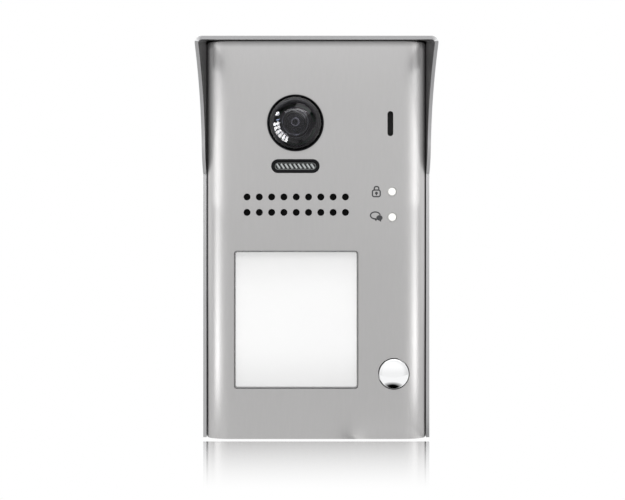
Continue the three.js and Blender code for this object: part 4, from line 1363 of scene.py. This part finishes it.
def makeWorld():
    # white behind the object, a pale room in front and dimmer sides
    world = scene.world or bpy.data.worlds.new("Studio")
    scene.world = world
    world.use_nodes = True
    tree = world.node_tree
    tree.nodes.clear()
    direction = tree.nodes.new("ShaderNodeTexCoord").outputs["Generated"]
    along = axisOf(tree, direction, "Y")
    ahead = rangeNode(tree, along, *stage["aheadRange"], stage["front"], stage["side"])
    # a little brighter from just above straight ahead
    lift = rangeNode(tree, axisOf(tree, direction, "Z"), *stage["liftRange"], *stage["lift"])
    lifted = mathNode(tree, "MULTIPLY", ahead, lift)
    behind = rangeNode(tree, along, *stage["behindRange"], stage["side"], stage["behind"])
    # plain white for the camera and in the mirror of the floor
    path = tree.nodes.new("ShaderNodeLightPath").outputs
    plain = mathNode(tree, "MAXIMUM", path["Is Camera Ray"], path["Is Singular Ray"])
    glow = mathNode(tree, "MAXIMUM", mathNode(tree, "MAXIMUM", lifted, behind), plain)
    background = tree.nodes.new("ShaderNodeBackground")
    background.inputs["Color"].default_value = (1, 1, 1, 1)
    output = tree.nodes.new("ShaderNodeOutputWorld")
    tree.links.new(glow, background.inputs["Strength"])
    tree.links.new(background.outputs[0], output.inputs["Surface"])


plainWhite = (1, 1, 1)

# a plain box is its place, what it looks at, its width and height, and its radiance
rig = {
    "aimY": -0.03,
    "stripX": 0.54,
    "stripY": -0.62,
    "stripWidth": 0.17,
    "strips": ((0.2, 0.5, 1.55), (-0.21, 0.32, 4.2)),  # middle z, length, radiance
    "roofBox": ((0, -0.42, 0.72), (0, -0.05, 0.08), 1.3, 0.3, 4.2),
    "upperFill": ((0, -0.8, 0.62), (0, -0.03, 0.05), 1.4, 0.7, 0.5),
    "lipBox": ((0, -0.8, 0.38), (0, -0.05, 0.08), 0.9, 0.25, 3.2),
    "sideX": 0.8,
    "sideY": 0.05,
    "sideFill": (0.9, 1.4, 0.75),
    "roofWidth": 95 * mm,
    "roofDrop": 0.3 * mm,
    "roofBounce": 0.72,
    "finX": 47.7 * mm,
    "finY": faceY - 7 * mm,
    "finZ": 46 * mm,
    "finBounce": (14 * mm, 60 * mm, 0.45),
    "patchUp": 0.2 * mm,
    "patch": 0.78,
    # panes round the dome: tilt, turn, length and width, radiance, colour
    "paneReach": 0.15,
    "windowPane": [(86, turn, (0.085, 0.022), 26.0, plainWhite) for turn in range(180, 241, 12)],
    "smallPane": [(92, 150, (0.040, 0.028), 26.0, plainWhite)],
    "skyPane": [(80, 167, (0.020, 0.014), 22.0, (0.55, 0.68, 1.0))],
    "softPatch": [(62, 62, (0.15, 0.15), 1.8, plainWhite)],
}


def addSoftbox(name, location, target, width, height, radiance):
    # power for an even radiance over the box
    data = bpy.data.lights.new(name, "AREA")
    data.shape = "RECTANGLE"
    data.size, data.size_y = width, height
    data.energy = radiance * math.pi * width * height
    light = bpy.data.objects.new(name, data)
    scene.collection.objects.link(light)
    direction = Vector(target) - Vector(location)
    light.rotation_euler = direction.to_track_quat("-Z", "Y").to_euler()
    light.location = location
    light.visible_camera = False
    return light


def linkTo(lights, pieces, blockers, name):
    # the lights reach only these pieces, and only the blockers can shade them
    receivers = bpy.data.collections.new(name)
    shades = bpy.data.collections.new(name + "Shades")
    for item in pieces:
        receivers.objects.link(item)
    for item in blockers:
        shades.objects.link(item)
    for light in lights:
        light.light_linking.receiver_collection = receivers
        light.light_linking.blocker_collection = shades


def addPane(name, centre, tilt, turn, size, radiance, colour):
    # a small box at this tilt from straight ahead, turned about the line of sight;
    # its first side runs outwards from that line
    a, b = math.radians(tilt), math.radians(turn)
    away = Vector((math.sin(a) * math.cos(b), -math.cos(a), math.sin(a) * math.sin(b)))
    outwards = Vector((math.cos(a) * math.cos(b), math.sin(a), math.cos(a) * math.sin(b)))
    place = Vector(centre) + rig["paneReach"] * away
    light = addSoftbox(name, place, centre, size[0], size[1], radiance)
    light.rotation_euler = Matrix((outwards, away.cross(outwards), away)).transposed().to_euler()
    light.data.color = colour
    return light


def makePanelLights():
    # a tall strip to each side draws the bright line down each flank
    fill = []
    for side in (-1, 1):
        for z, height, radiance in rig["strips"]:
            fill.append(addSoftbox("flankStrip", (side * rig["stripX"], rig["stripY"], z),
                                   (0, rig["aimY"], z), rig["stripWidth"], height, radiance))
    addSoftbox("roofBox", *rig["roofBox"])
    # soft fill into the flanks, and the light that comes back off the roof and the fins
    for side in (-1, 1):
        fill.append(addSoftbox("sideFill", (side * rig["sideX"], rig["sideY"], 0),
                               (0, rig["aimY"], 0), *rig["sideFill"]))
    fill.append(addSoftbox("upperFill", *rig["upperFill"]))
    depth = faceY - hoodLow.y
    y = faceY - 0.5 * depth
    z = hood["lipBottom"] + hood["slope"] * 0.5 * depth - rig["roofDrop"]
    fill.append(addSoftbox("roofBounce", (0, y, z), (0, y + hood["slope"], z - 1),
                           rig["roofWidth"], depth, rig["roofBounce"]))
    for side in (-1, 1):
        x, y, z = side * rig["finX"], rig["finY"], rig["finZ"]
        fill.append(addSoftbox("finBounce", (x, y, z), (x - side, y, z), *rig["finBounce"]))
    # the sheet sees the floor as lit even where it is shaded under the button
    across = stage["shadeCore"] + stage["shadeRim"]
    x, y = button["centre"][0], stage["shadeY"]
    patch = addSoftbox("floorPatch", (x, y, stage["floorZ"] + rig["patchUp"]), (x, y, 1),
                       across, across, rig["patch"])
    patch.data.shape = "DISK"
    linkTo(fill + [patch], [frontPiece], [frontPiece], "satinSheet")


def makeLights():
    makePanelLights()
    # a box above the line of sight for the rolled front edge of the roof
    linkTo([addSoftbox("lipBox", *rig["lipBox"])], [hoodPiece], [hoodPiece], "hoodSheet")
    # a window low on the left and a soft patch on the right, kept to the dome, its ring and
    # the two fine rings of the lens
    eye = (camera["centre"][0], faceY - 5 * mm, camera["centre"][1])
    panes = [addPane(name, eye, *pane)
             for name in ("windowPane", "smallPane", "skyPane", "softPatch")
             for pane in rig[name]]
    linkTo(panes, domePieces, domePieces[:1], "domeReflections")


view = {
    "sensor": 36,
    "lens": 46.8,
    "near": 0.01,
    "place": (-0.00164, -0.379, -0.00355),
}


def makeCamera():
    data = bpy.data.cameras.new("Camera")
    data.sensor_width = view["sensor"]
    data.lens = view["lens"]
    data.clip_start = view["near"]
    item = bpy.data.objects.new("Camera", data)
    scene.collection.objects.link(item)
    item.location = view["place"]
    item.rotation_euler = (math.pi / 2, 0, 0)
    scene.camera = item


makeFloor()
makeWorld()
makeLights()
makeCamera()
scene.view_settings.view_transform = "Standard"
print("stage set")
